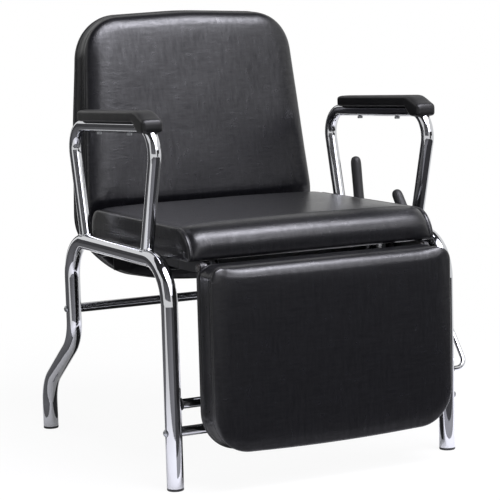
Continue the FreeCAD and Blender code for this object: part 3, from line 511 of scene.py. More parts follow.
def speckled_material(colours, kind):
    """Dark coating or moulding with a fine uneven skin."""
    name, grain_mm, bump_mm, rough_low, rough_high, ior = SPECKLED[kind]
    rgb = getattr(colours, kind)
    material, add, shader, place = start_material(name)
    skin = add("TexNoise", {
        "Vector": place, "Scale": per_metre(grain_mm), "Detail": 3.0, "Roughness": 0.55})
    cloud = add("TexNoise", {"Vector": place, "Scale": per_metre(30.0), "Detail": 3.0})
    lighter = [min(1.0, c * 1.5 + 0.002) for c in rgb]
    share = add("MapRange", {"Value": cloud, "From Min": 0.3, "From Max": 0.75})
    tone = add("MixRGB", {
        "Fac": share, "Color1": solid(rgb), "Color2": solid(lighter)})
    rough = add("MapRange", {"Value": share, "To Min": rough_low, "To Max": rough_high})
    bump = add("Bump", {"Height": skin, "Strength": 0.25, "Distance": bump_mm * MM})
    set_inputs(shader, {"Base Color": tone, "Roughness": rough, "Normal": bump, "IOR": ior})
    return material


def plywood_material(colours):
    """Rotary-cut plywood, sanded and left bare.

    Gives pale brown boards with long soft grain and a dull face.
    """
    material, add, shader, place = start_material("sanded_plywood")
    along = add("Mapping", {"Vector": place, "Scale": (1.0, 12.0, 12.0)})
    grain = add("TexNoise", {
        "Vector": along, "Scale": per_metre(120.0), "Detail": 6.0, "Distortion": 0.6})
    share = add("MapRange", {"Value": grain, "From Min": 0.3, "From Max": 0.7})
    tone = add("MixRGB", {
        "Fac": share, "Color1": solid(colours.ply_grain), "Color2": solid(colours.ply)})
    bump = add("Bump", {"Height": grain, "Strength": 0.2, "Distance": 0.4 * MM})
    set_inputs(shader, {"Base Color": tone, "Normal": bump, "Roughness": 0.65})
    return material


def lining_material(colours):
    """Black spun-bonded cloth stapled under the cushions.

    Gives a dull dark sheet with a faint square emboss, whose hollows are coloured darker as painted shade.
    """
    material, add, shader, place = start_material("spun_bonded_lining")
    # The real emboss repeats at about 1 mm; it is drawn at 2.5 mm, so that it shows
    dots = add("TexVoronoi", {
        "Vector": place, "Scale": per_metre(2.5), "Randomness": 0.1})
    share = add("MapRange", {"Value": dots, "From Min": 0.1, "From Max": 0.6})
    # Painted shade: the hollows of the emboss are coloured darker than the rest
    tone = add("MixRGB", {
        "Fac": share, "Color1": solid(colours.lining_hollow_shade), "Color2": solid(colours.lining)})
    bump = add("Bump", {"Height": dots, "Strength": 0.4, "Distance": 0.3 * MM})
    set_inputs(shader, {"Base Color": tone, "Normal": bump, "Roughness": 0.85})
    return material


MAKERS = {"vinyl": vinyl_material, "chrome": chrome_material, "zinc": zinc_material,
          "ply": plywood_material, "lining": lining_material}
FINISHES = {}


def finish_for(name):
    """A finish by its short name, made when first asked for."""
    if name not in FINISHES:
        colours = sizes_of(bpy.context, "colours")
        FINISHES[name] = (speckled_material(colours, name) if name in SPECKLED
                          else MAKERS[name](colours))
    return FINISHES[name]


# Mesh building


def add_piece(name, verts, faces, finishes, body, slot):
    """Closed mesh from vertices and faces, with its finishes, riding on a body."""
    mesh = bpy.data.meshes.new(name)
    mesh.from_pydata([tuple(v) for v in verts], [], faces)
    shape = bmesh.new()
    shape.from_mesh(mesh)
    bmesh.ops.recalc_face_normals(shape, faces=shape.faces)
    shape.to_mesh(mesh)
    shape.free()
    mesh.polygons.foreach_set("use_smooth", [True] * len(mesh.polygons))
    for finish in finishes:
        mesh.materials.append(finish_for(finish))
    piece = bpy.data.objects.new(name, mesh)
    bpy.context.scene.collection.objects.link(piece)
    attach(piece, body)
    return piece


def turns(count, shift=0.0):
    """Even angles round a circle."""
    return [2 * math.pi * (k + shift) / count for k in range(count)]


def spokes(side, up, count):
    """Unit vectors round a circle, from one direction towards another."""
    return [side * math.cos(turn) + up * math.sin(turn) for turn in turns(count)]


def bands(rows, count, base=0, wrap=False):
    """Faces that join rings of points in order, and the last to the first if they wrap."""
    faces = []
    for row in range(rows if wrap else rows - 1):
        low, high = base + row * count, base + (row + 1) % rows * count
        for k in range(count):
            n = (k + 1) % count
            faces.append((low + k, low + n, high + n, high + k))
    return faces


def loft(rings):
    """Vertices and faces of closed rings joined in order and fanned shut at both ends."""
    count = len(rings[0])
    verts = np.concatenate([*rings, [rings[0].mean(axis=0)], [rings[-1].mean(axis=0)]])
    last_ring = (len(rings) - 1) * count
    faces = bands(len(rings), count)
    for k in range(count):
        n = (k + 1) % count
        faces.append((len(verts) - 2, n, k))
        faces.append((len(verts) - 1, last_ring + k, last_ring + n))
    return verts, faces


def lengths_along(path):
    """Distance of each point from the first, along a path."""
    return np.concatenate([[0], np.cumsum(np.linalg.norm(np.diff(path, axis=0), axis=1))])


class Outline:
    """Closed outline with rounded corners, as even points with outward normals."""

    def __init__(self, corners, radii):
        path = []
        for index, radius in enumerate(radii):
            here = Vector(corners[index])
            back = (Vector(corners[index - 1]) - here).normalized()
            ahead = (Vector(corners[(index + 1) % len(corners)]) - here).normalized()
            half = back.angle(ahead) / 2
            centre = here + (back + ahead).normalized() * (radius / math.sin(half))
            arm = here + back * (radius / math.tan(half)) - centre
            for step in range(ARC_STEPS + 1):
                turned = arm.copy()
                turned.rotate(Matrix.Rotation((math.pi - 2 * half) * step / ARC_STEPS, 2))
                path.append(centre + turned)
        path = np.array([*path, path[0]])
        along = lengths_along(path)
        count = int(round(along[-1] / OUTLINE_SPACING))
        at = np.arange(count) * along[-1] / count
        self.points = np.stack([np.interp(at, along, path[:, axis]) for axis in (0, 1)], axis=1)
        tangent = np.roll(self.points, -1, axis=0) - np.roll(self.points, 1, axis=0)
        tangent /= np.linalg.norm(tangent, axis=1)[:, None]
        self.normals = np.stack([tangent[:, 1], -tangent[:, 0]], axis=1)
        low, high = self.points.min(axis=0), self.points.max(axis=0)
        self.centre, self.half = (low + high) / 2, (high - low) / 2

    def ring(self, inset=0.0, shrink=1.0, offset=0.0):
        """The outline moved in from its sides, shrunk to its centre, or moved along normals."""
        scale = (1 - inset / self.half) * shrink
        moved = self.centre + (self.points - self.centre) * scale
        return moved + self.normals * np.broadcast_to(offset, len(moved))[:, None]


def face_rings(outline, roll, roll_width, dome, overhang=0.0):
    """Rings of a swelling panel from its middle to its edge, each with its rise over the seam.

    The panel rolls over in an arc, which may stand out past the seam before it turns in.
    """
    deepest = min(2 * roll_width, DEEPEST_SHARE * outline.half.min())
    mean_half = outline.half.mean()
    for shrink in FACE_SHRINKS:
        across = shrink * (1 - deepest / mean_half)
        yield outline.ring(inset=deepest, shrink=shrink), roll + dome * (1 - across ** 2)
    for share in ROLL_SHARES:
        inset = roll_width + (deepest - roll_width) * share
        yield outline.ring(inset=inset), roll + dome * (1 - (1 - inset / mean_half) ** 2)
    start = np.arccos(1 - overhang / roll_width)
    for step in EDGE_STEPS:
        turn = -start + (start + math.pi / 2) * step ** EDGE_CROWDING
        inset = roll_width * (np.cos(start) - np.cos(turn))
        lift = (np.sin(turn) + np.sin(start)) / (1 + np.sin(start))
        across = 1 - np.maximum(inset, 0) / mean_half
        yield outline.ring(offset=-inset), roll * lift + dome * (1 - across ** 2)


def seam_profile(seams):
    """Distance from a seam and height over the surface, across the seam and its topstitch."""
    welt, rise, stitch = seams.welt, seams.welt_rise, seams.topstitch
    return [(0.0, -seams.groove), (0.07 * welt, -0.3 * seams.groove), (0.17 * welt, 0.3 * rise),
            (0.38 * welt, rise), (0.65 * welt, 0.9 * rise), (0.85 * welt, 0.3 * rise),
            (0.94 * welt, -0.5 * stitch), (welt, -stitch), (1.06 * welt, -0.5 * stitch),
            (1.16 * welt, 0.0)]


def boxing_rows(seams, width):
    """Distance and height across a boxed edge: its seams, and the strip pulled in between."""
    profile = seam_profile(seams)
    strip = [(share * width, -BOXING_PULL * math.sin(math.pi * share)) for share in STRIP_SHARES]
    return profile + strip + [(width - distance, height) for distance, height in reversed(profile)]


def ease(values, low, high):
    """Smooth step from 0 at the low value to 1 at the high one."""
    share = np.clip((values - low) / (high - low), 0, 1)
    return share * share * (3 - 2 * share)


def unevenness(points, scale, height):
    """Gentle height of hand-made foam and cloth at places on a surface."""
    return np.array([noise.noise(Vector(p) / scale) for p in points]) * height


def add_stitches(name, paths, body, seams):
    """Thread stitches along closed paths; a path's mask says where it is sewn."""
    verts, faces = [], []
    last_ring = (len(STITCH_PROFILE) - 1) * STITCH_SIDES
    for path, mask in paths:
        closed = np.concatenate([path, path[:1]])
        along = lengths_along(closed)
        count = int(along[-1] / seams.stitch_pitch)
        for index in range(count):
            at = (index + 0.5) * along[-1] / count
            segment = int(np.searchsorted(along, at)) - 1
            if not mask[segment % len(path)]:
                continue
            middle = Vector([np.interp(at, along, closed[:, axis]) for axis in range(3)])
            ahead = Vector(closed[segment + 1] - closed[segment]).normalized()
            side = ahead.orthogonal().normalized()
            up = ahead.cross(side)
            base = len(verts)
            for end, width in STITCH_PROFILE:
                for spoke in spokes(side, up, STITCH_SIDES):
                    verts.append(middle + ahead * (end * seams.stitch_length)
                                 + spoke * (seams.thread / 2 * width))
            faces += bands(len(STITCH_PROFILE), STITCH_SIDES, base)
            faces.append(tuple(base + k for k in reversed(range(STITCH_SIDES))))
            faces.append(tuple(base + last_ring + k for k in range(STITCH_SIDES)))
    add_piece(name, verts, faces, ["thread"], body, "upholstery_vinyl")


def panel_freedom(ring_size, ring_count):
    """How free each vertex of a cushion is to swell: its front panel, but not near the seam."""
    rows = [1.0] * FACE_ROWS + [float(ease(step, 0.0, 1.0)) for step in EDGE_STEPS]
    rows += [0.0] * (ring_count - len(rows))
    return np.concatenate([np.repeat(rows, ring_size), [1.0, 0.0]])


def nearest_finder(points):
    """Tree that finds the nearest of some points."""
    tree = KDTree(len(points))
    for index, point in enumerate(points):
        tree.insert(point, index)
    tree.balance()
    return tree


def press_out(piece, freedom, limit):
    """Press a cushion's free vertices out by cloth simulation, no further than a limit.

    A coarse copy is blown up with its seams and rear pinned, and the piece follows it.
    """
    scene = bpy.context.scene
    finder = nearest_finder([vertex.co for vertex in piece.data.vertices])
    skin = bpy.data.objects.new("pressed_skin", piece.data.copy())
    scene.collection.objects.link(skin)
    voxels = skin.modifiers.new("voxels", "REMESH")
    voxels.mode = "VOXEL"
    voxels.voxel_size = CLOTH_VOXEL
    depsgraph = bpy.context.evaluated_depsgraph_get()
    coarse = bpy.data.meshes.new_from_object(skin.evaluated_get(depsgraph), depsgraph=depsgraph)
    skin.modifiers.clear()
    skin.data = coarse
    pins = skin.vertex_groups.new(name="pins")
    for vertex in coarse.vertices:
        pins.add([vertex.index], 1 - freedom[finder.find(vertex.co)[1]], "REPLACE")
    start = np.array([vertex.co for vertex in coarse.vertices])
    cloth = skin.modifiers.new("cloth", "CLOTH")
    cloth.settings.vertex_group_mass = pins.name
    cloth.settings.use_pressure = True
    cloth.settings.uniform_pressure_force = CLOTH_PRESSURE
    cloth.settings.effector_weights.gravity = 0.0
    cloth.collision_settings.use_collision = False
    cloth.point_cache.frame_end = CLOTH_FRAMES
    for step in range(1, CLOTH_FRAMES + 1):
        scene.frame_set(step)
    depsgraph = bpy.context.evaluated_depsgraph_get()
    end = np.array([vertex.co for vertex in skin.evaluated_get(depsgraph).data.vertices])
    shift = end - start
    # Vinyl is too stiff for small wrinkles, so each point moves much as its neighbours do
    edges = np.array([edge.vertices for edge in coarse.edges])
    ends, others = np.concatenate([edges, edges[:, ::-1]]).T
    shares = np.bincount(ends, minlength=len(shift))[:, None]
    for _ in range(CLOTH_SMOOTHING):
        around = np.zeros_like(shift)
        np.add.at(around, ends, shift[others])
        shift = 0.5 * (shift + around / shares)
    far = np.linalg.norm(shift, axis=1)
    # Foam under the cloth gives way less and less, so the swelling eases in to its limit
    shift *= (limit * np.tanh(far / limit) / np.maximum(far, 1e-9))[:, None]
    finder = nearest_finder(start)
    for vertex in piece.data.vertices:
        if freedom[vertex.index] > 0:
            found = finder.find_n(vertex.co, CLOTH_NEIGHBOURS)
            weights = [1 / (distance + CLOTH_REACH) for _, _, distance in found]
            pushed = sum(weight * shift[index] for weight, (_, index, _) in zip(weights, found))
            vertex.co += Vector(pushed) * (freedom[vertex.index] / sum(weights))
    bpy.data.objects.remove(skin)
    scene.frame_set(1)


def paint_lining(piece, test):
    """Give the faces whose centre passes a test the second finish."""
    for face in piece.data.polygons:
        if test(face.center):
            face.material_index = 1


def smooth_more(piece):
    """Round a piece off with a subdivision surface."""
    modifier = piece.modifiers.new("smooth", "SUBSURF")
    modifier.levels = modifier.render_levels = 1


class CHAIR_OT_back_cushion(Operator):
    """Upholstered backrest with a boxed edge and topstitched seams"""
    bl_idname = "chair.back_cushion"
    bl_label = "Back Cushion"

    def execute(self, context):
        back, seams = sizes_of(context, "back"), sizes_of(context, "seams")
        hinge = Vector(JOINTS["back_recline"]["pos_m"])
        lean = math.radians(BACK_LEAN)

        def place(flat, depth):
            across, height = flat.T
            return np.stack([
                across,
                hinge.y + depth * math.cos(lean) + height * math.sin(lean),
                hinge.z - depth * math.sin(lean) + height * math.cos(lean)], axis=1)

        slant = math.atan2(back.low_corner_rise, back.low_half_width)
        sag = BACK_BOTTOM_RADIUS / math.cos(slant) - BACK_BOTTOM_RADIUS
        wide, high = back.top_half_width, back.above_hinge - back.top_crown
        wide_low, low = back.low_half_width, back.low_corner_rise - back.below_hinge - sag
        corners = [(wide, high), (0, back.above_hinge), (-wide, high),
                   (-wide_low, low), (0, -back.below_hinge - sag), (wide_low, low)]
        radii = [BACK_TOP_RADIUS, BACK_CROWN_RADIUS, BACK_TOP_RADIUS,
                 BACK_LOW_RADIUS, BACK_BOTTOM_RADIUS, BACK_LOW_RADIUS]
        outline = Outline(corners, radii)
        sideways, upward = abs(outline.normals[:, 0]), outline.normals[:, 1]
        overhang = back.overhang * ease(sideways, *BACK_OVERHANG_SLOPES)
        rings = []
        for flat, rise in face_rings(outline, back.roll, back.roll_width, back.dome, overhang):
            bumps = unevenness(np.insert(flat, 2, 0.0, axis=1), *BACK_BUMPS)
            tucked = 1 - TUCK_SHARE * ease(-flat[:, 1], -back.tuck, TUCK_REACH - back.tuck)
            rings.append(place(flat, back.front - rise * tucked - bumps))
        span = [-share * back.above_hinge for share in BACK_FLARE_SPAN]
        lower = ease(-outline.points[:, 1], *span)
        flare = (back.high_flare + (back.low_flare - back.high_flare) * lower) * sideways
        flare = flare * ease(upward, *BACK_FLARE_SLOPES)
        flare = np.hypot(flare, back.top_flare * np.clip(upward, 0, 1))
        for distance, height in boxing_rows(seams, back.boxing):
            wider = height + flare * (distance / back.boxing)
            rings.append(place(outline.ring(offset=wider), back.front + distance))
        # The rim meets the rear panel, whose sides run further out than the front seam's
        narrowing = np.interp(outline.points[:, 1], (low, high), BACK_NARROWING)
        narrow = np.stack([narrowing / REAR_EDGE, 0 * narrowing], axis=1)
        for inset, sunk in BACK_RIM:
            around = outline.ring(inset=inset * (1 - narrow),
                                  offset=flare * (1 - inset / REAR_EDGE))
            rings.append(place(around, BACK_REAR - sunk))
        for shrink in BACK_REAR_SHRINKS:
            inner = outline.ring(inset=REAR_EDGE * (1 - narrow), shrink=shrink)
            rings.append(place(inner, BACK_REAR - REAR_POCKET))
        piece = add_piece("back_upholstery", *loft(rings), ["vinyl"], "backrest",
                          "upholstery_vinyl")
        press_out(piece, panel_freedom(len(outline.points), len(rings)), back.swell)
        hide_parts("back_cushion")
        sewn = np.ones(len(outline.points), bool)
        paths = []
        for distance in (seams.welt, back.boxing - seams.welt):
            line = outline.ring(offset=flare * (distance / back.boxing) - 0.5 * seams.topstitch)
            paths.append((place(line, back.front + distance), sewn))
        add_stitches("back_stitches", paths, "backrest", seams)
        return {"FINISHED"}


class CHAIR_OT_seat_cushion(Operator):
    """Upholstered seat whose top panel rolls over the front edge"""
    bl_idname = "chair.seat_cushion"
    bl_label = "Seat Cushion"

    def execute(self, context):
        seat, seams = sizes_of(context, "seat"), sizes_of(context, "seams")
        half = seat.width / 2

        def place(flat, x):
            return np.insert(flat, 0, x, axis=1)

        corners = [(seat.front_low, seat.bottom), (seat.rear, seat.bottom),
                   (seat.rear, seat.top), (seat.front_top, seat.top)]
        radii = [SEAT_LOW_RADIUS, SEAT_LOW_RADIUS, SEAT_REAR_RADIUS, seat.front_radius]
        outline = Outline(corners, radii)
        up = np.clip(outline.normals[:, 1], 0, 1)
        ahead = np.clip(-outline.normals[:, 0], 0, 1)
        raised = outline.points[:, 1] - seat.bottom
        off_floor = np.clip(raised / SEAT_FOOT, 0, 1)
        # The front leans out over its foot, and is fullest just under the roll
        lifted = ease(raised, 0, SEAT_FULL_SHARE * (seat.top - seat.bottom))
        swell = (seat.top_swell * up ** 2) * off_floor + seat.front_swell * ahead * lifted
        dome = seat.dome * np.maximum(up, ahead * lifted) * off_floor
        side = list(face_rings(outline, seat.side_swell, SEAT_SIDE_ROLL, SEAT_SIDE_DOME))
        profile = seam_profile(seams)
        above = off_floor > 0.5
        start = profile[-1][0]
        rows = [(distance, height * above) for distance, height in profile]
        for span in SEAT_SPANS:
            quick = 1 - math.exp(-span / SEAT_SWELL_REACH)
            slow = 1 - (1 - (start + span) / half) ** 2
            rows.append((start + span, swell * quick + dome * slow))
        rows.append((half, swell + dome))
        across = [(-half + d, o) for d, o in rows] + [(half - d, o) for d, o in reversed(rows[:-1])]
        rings = [place(flat, -half - rise) for flat, rise in side]
        for x, offset in across:
            bumps = unevenness(place(outline.ring(offset=offset), x), *SEAT_BUMPS)
            bumps = bumps * off_floor * min(1, (half - abs(x)) / SEAT_BUMP_FADE)
            rings.append(place(outline.ring(offset=offset + bumps), x))
        rings += [place(flat, half + rise) for flat, rise in reversed(side)]
        piece = add_piece("seat_upholstery", *loft(rings), ["vinyl", "lining"], "frame",
                          "upholstery_vinyl")
        held = [np.zeros(len(above))] * len(side)
        free = [np.maximum(up, ahead) * off_floor * ease(half - abs(x), seams.welt, SEAM_HOLD)
                for x, _ in across]
        press_out(piece, np.concatenate([*held, *free, *held, [0.0, 0.0]]), seat.swell)
        edge = SEAT_LINING_EDGE
        paint_lining(piece, lambda c: c.z < seat.bottom + SEAT_LINING_DEPTH
                     and abs(c.x) < half - edge
                     and seat.front_low + edge < c.y < seat.rear - edge)
        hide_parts("seat_cushion")
        sewn = above & (outline.points[:, 0] < seat.rear - SEAT_STITCH_END)
        line = outline.ring(offset=-0.5 * seams.topstitch)
        paths = [(place(line, sign * (half - seams.welt)), sewn) for sign in (-1, 1)]
        add_stitches("seat_stitches", paths, "frame", seams)
        return {"FINISHED"}


class CHAIR_OT_legrest_cushion(Operator):
    """Upholstered legrest whose front panel rolls over the top edge"""
    bl_idname = "chair.legrest_cushion"
    bl_label = "Legrest Cushion"

    def execute(self, context):
        rest, seams = sizes_of(context, "legrest"), sizes_of(context, "seams")

        def place(flat, y):
            return np.insert(flat, 1, y, axis=1)

        wide = rest.half_width
        low = rest.bottom - LEGREST_BOTTOM_CUT
        corner = low + rest.low_crown
        corners = [(wide, rest.top), (-wide, rest.top), (-wide, corner), (0, low), (wide, corner)]
        radii = [rest.top_radius, rest.top_radius, rest.low_radius, LEGREST_BOTTOM_RADIUS,
                 rest.low_radius]
        outline = Outline(corners, radii)
        upward = ease(outline.normals[:, 1], *LEGREST_TOP_SLOPES)
        over_top = upward * ease(wide - abs(outline.points[:, 0]), 0, LEGREST_ROLL_FADE)
        sewn = 1 - over_top
        flare = rest.flare * (1 - upward)
        edge = rest.front + rest.top_roll * over_top
        roll = rest.roll + rest.top_roll * over_top
        overhang = rest.overhang * sewn * abs(outline.normals[:, 0])
        rings = []
        for flat, rise in face_rings(outline, roll, rest.roll_width, rest.dome, overhang):
            bumps = unevenness(np.insert(flat, 2, 0.0, axis=1), *LEGREST_BUMPS)
            rings.append(place(flat, edge - rise - bumps))
        span = rest.front + rest.boxing - edge
        for distance, height in boxing_rows(seams, rest.boxing):
            share = distance / rest.boxing
            around = outline.ring(offset=height * sewn + flare * share)
            rings.append(place(around, edge + share * span))
        for inset, sunk in LEGREST_RIM:
            around = outline.ring(inset=inset, offset=flare * (1 - inset / LEGREST_RIM_WIDTH))
            # Above its board the rear is pressed in, clear of the hinge lugs
            above_board = ease(around[:, 1], LEGREST_BOARD_TOP, LEGREST_BOARD_TOP + LUG_FADE)
            rings.append(place(around, rest.rear - sunk - LUG_CLEARANCE * above_board))
        for shrink in LEGREST_REAR_SHRINKS:
            rings.append(place(outline.ring(inset=LEGREST_RIM_WIDTH, shrink=shrink), rest.rear))
        piece = add_piece("legrest_upholstery", *loft(rings), ["vinyl", "lining"], "legrest",
                          "upholstery_vinyl")
        press_out(piece, panel_freedom(len(outline.points), len(rings)), rest.swell)
        inner = LEGREST_LINING_EDGE
        paint_lining(piece, lambda c: c.y > rest.rear - LEGREST_LINING_DEPTH
                     and abs(c.x) < wide - inner
                     and rest.bottom + inner < c.z < rest.top - inner)
        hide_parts("legrest_cushion")
        share = seams.welt / rest.boxing
        line = outline.ring(offset=flare * share - 0.5 * seams.topstitch)
        paths = [(place(line, edge + share * span), sewn > 0.6)]
        add_stitches("legrest_stitches", paths, "legrest", seams)
        return {"FINISHED"}


class CHAIR_OT_armrest_pads(Operator):
    """Moulded pads on the arm tubes, with a nose that slopes down"""
    bl_idname = "chair.armrest_pads"
    bl_label = "Armrest Pads"

    def execute(self, context):
        pad = sizes_of(context, "pads")
        fall = (pad.tube_front_height - pad.tube_rear_height) / (pad.tube_rear - pad.tube_front)

        def section(y, inset):
            slope_end = pad.nose + pad.slope
            up = ease(y, pad.nose + PAD_UPPER_SLOPE[0], slope_end + PAD_UPPER_SLOPE[1])
            lip = pad.skirt + PAD_NOSE_RISE
            high = lip + (pad.above - lip) * up
            down = ease(y, slope_end + PAD_LOWER_SLOPE[0], slope_end + PAD_LOWER_SLOPE[1])
            low = -pad.drop + (pad.skirt + pad.drop) * down
            middle = pad.tube_rear_height + fall * (pad.tube_rear - y) + (high + low) / 2
            tall, wide = (high - low) / 2 - inset, pad.width / 2 - inset
            square = 2 / PAD_SQUARENESS
            ring = []
            for turn in turns(PAD_SIDES, 0.5):
                c, s = math.cos(turn), math.sin(turn)
                x = wide * math.copysign(abs(c) ** square, c)
                z = tall * math.copysign(abs(s) ** square, s)
                crown = PAD_CROWN * (1 - (x / wide) ** 2) if s > 0 else 0.0
                ring.append((x, y, middle + z + crown))
            return np.array(ring)

        stations = [(pad.nose + at, inset) for at, inset in PAD_ENDS]
        evenly = np.linspace(pad.nose + PAD_END, pad.rear - PAD_END, PAD_STATIONS)
        stations += [(y, 0.0) for y in evenly]
        stations += [(pad.rear - at * PAD_REAR_SHARE, inset * PAD_REAR_SHARE)
                     for at, inset in reversed(PAD_ENDS)]
        verts, faces = loft([section(y, inset) for y, inset in stations])
        for side, sign in SIDES:
            moved = verts + np.array([sign * pad.centre, 0, 0])
            piece = add_piece("armrest_" + side, moved, faces, ["pad"], "frame", "moulded_pad")
            smooth_more(piece)
            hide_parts("armrest_pad_" + side)
        return {"FINISHED"}


class CHAIR_OT_lever_grips(Operator):
    """Dipped rubber grips on the two hand levers"""
    bl_idname = "chair.lever_grips"
    bl_label = "Lever Grips"

    def execute(self, context):
        lever = sizes_of(context, "levers")
        end, rod = lever.grip, lever.rod_radius / lever.grip_radius
        profile = [(at * MM, share) for at, share in GRIP_TOP]
        profile += [(end - at * MM, share) for at, share in GRIP_FOOT]
        profile += [(end, rod), (end - GRIP_HOLLOW, rod)]
        grips = (("legrest_lever_grip", "legrest_lever", "legrest_lever_swing",
                  lever.legrest_length, LEGREST_LEVER_ANGLE),
                 ("recline_lever_grip", "recline_lever", "recline_lever_pull",
                  lever.recline_length, RECLINE_LEVER_ANGLE))
        for node, body, joint, length, angle in grips:
            pivot = Vector(JOINTS[joint]["pos_m"])
            lean = math.radians(angle)
            up = Vector((0, math.sin(lean), math.cos(lean)))
            top = Vector((lever.side, pivot.y, pivot.z)) + up * length
            across = Vector((1, 0, 0))
            out = up.cross(across)
            around = spokes(across, out, GRIP_SIDES)
            rings = [np.array([top - up * distance + spoke * (share * lever.grip_radius)
                               for spoke in around]) for distance, share in profile]
            piece = add_piece(node + "_rubber", *loft(rings), ["rubber"], body, "grip_rubber")
            smooth_more(piece)
            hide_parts(node)
        return {"FINISHED"}


class CHAIR_OT_weld_beads(Operator):
    """Weld beads where the arm loops meet the side rails"""
    bl_idname = "chair.weld_beads"
    bl_label = "Weld Beads"

    def execute(self, context):
        pad = sizes_of(context, "pads")
        feet = (("front", ARM_FRONT_FOOT, Vector((0, pad.tube_front, pad.tube_front_height))),
                ("rear", ARM_REAR_FOOT, Vector((0, pad.tube_rear, pad.tube_rear_height))))
        faces = bands(WELD_STEPS, WELD_SIDES, wrap=True)
        for end, foot_y, top in feet:
            foot = Vector((0, foot_y, RAIL_HEIGHT))
            along = (top - foot).normalized()
            side = Vector((1, 0, 0))
            front = along.cross(side)
            path = []
            for ray in spokes(side, front, WELD_STEPS):
                spoke = ray * ARM_TUBE_RADIUS
                off_rail = spoke.x - RAIL_X + pad.centre
                rise = math.sqrt(RAIL_RADIUS ** 2 - off_rail ** 2) - spoke.z
                path.append(foot + along * (rise / along.z) + spoke)
            verts = []
            for k, turn in enumerate(turns(WELD_STEPS)):
                ahead = (path[(k + 1) % WELD_STEPS] - path[k - 1]).normalized()
                out = (path[k] - foot - along * (path[k] - foot).dot(along)).normalized()
                other = ahead.cross(out)
                thick = WELD_RADIUS * (1 + WELD_RIPPLE_SHARE * math.sin(turn * WELD_RIPPLES))
                verts += [path[k] + ray * thick for ray in spokes(out, other, WELD_SIDES)]
            for name, sign in SIDES:
                moved = [Vector((sign * (pad.centre + v.x), v.y, v.z)) for v in verts]
                add_piece(f"weld_{end}_{name}", moved, faces, ["chrome"], "frame", "chromed_tube")
        return {"FINISHED"}


class CHAIR_OT_metalwork(Operator):
    """Finishes of the tubes, rods, brackets, screws, boards and caps"""
    bl_idname = "chair.metalwork"
    bl_label = "Metalwork Finishes"

    def execute(self, context):
        finish_of_slot = {
            "chromed_tube": "chrome", "chromed_rod": "chrome", "plated_screws": "zinc",
            "painted_steel": "powder", "upholstery_vinyl": "vinyl", "plywood": "ply",
            "moulded_pad": "pad", "grip_rubber": "rubber", "foot_plastic": "plastic",
            "bush_nylon": "plastic",
        }
        finish_of_node = {"legrest_pivot_bolts": "oxide", "back_pivot_bolts": "oxide"}
        for part in frame["record"]["subparts"]:
            node = frame["nodes"][part["node"]]
            finish = finish_of_node.get(part["node"], finish_of_slot[part["material_slot"]])
            node.data.materials.clear()
            node.data.materials.append(finish_for(finish))
        return {"FINISHED"}


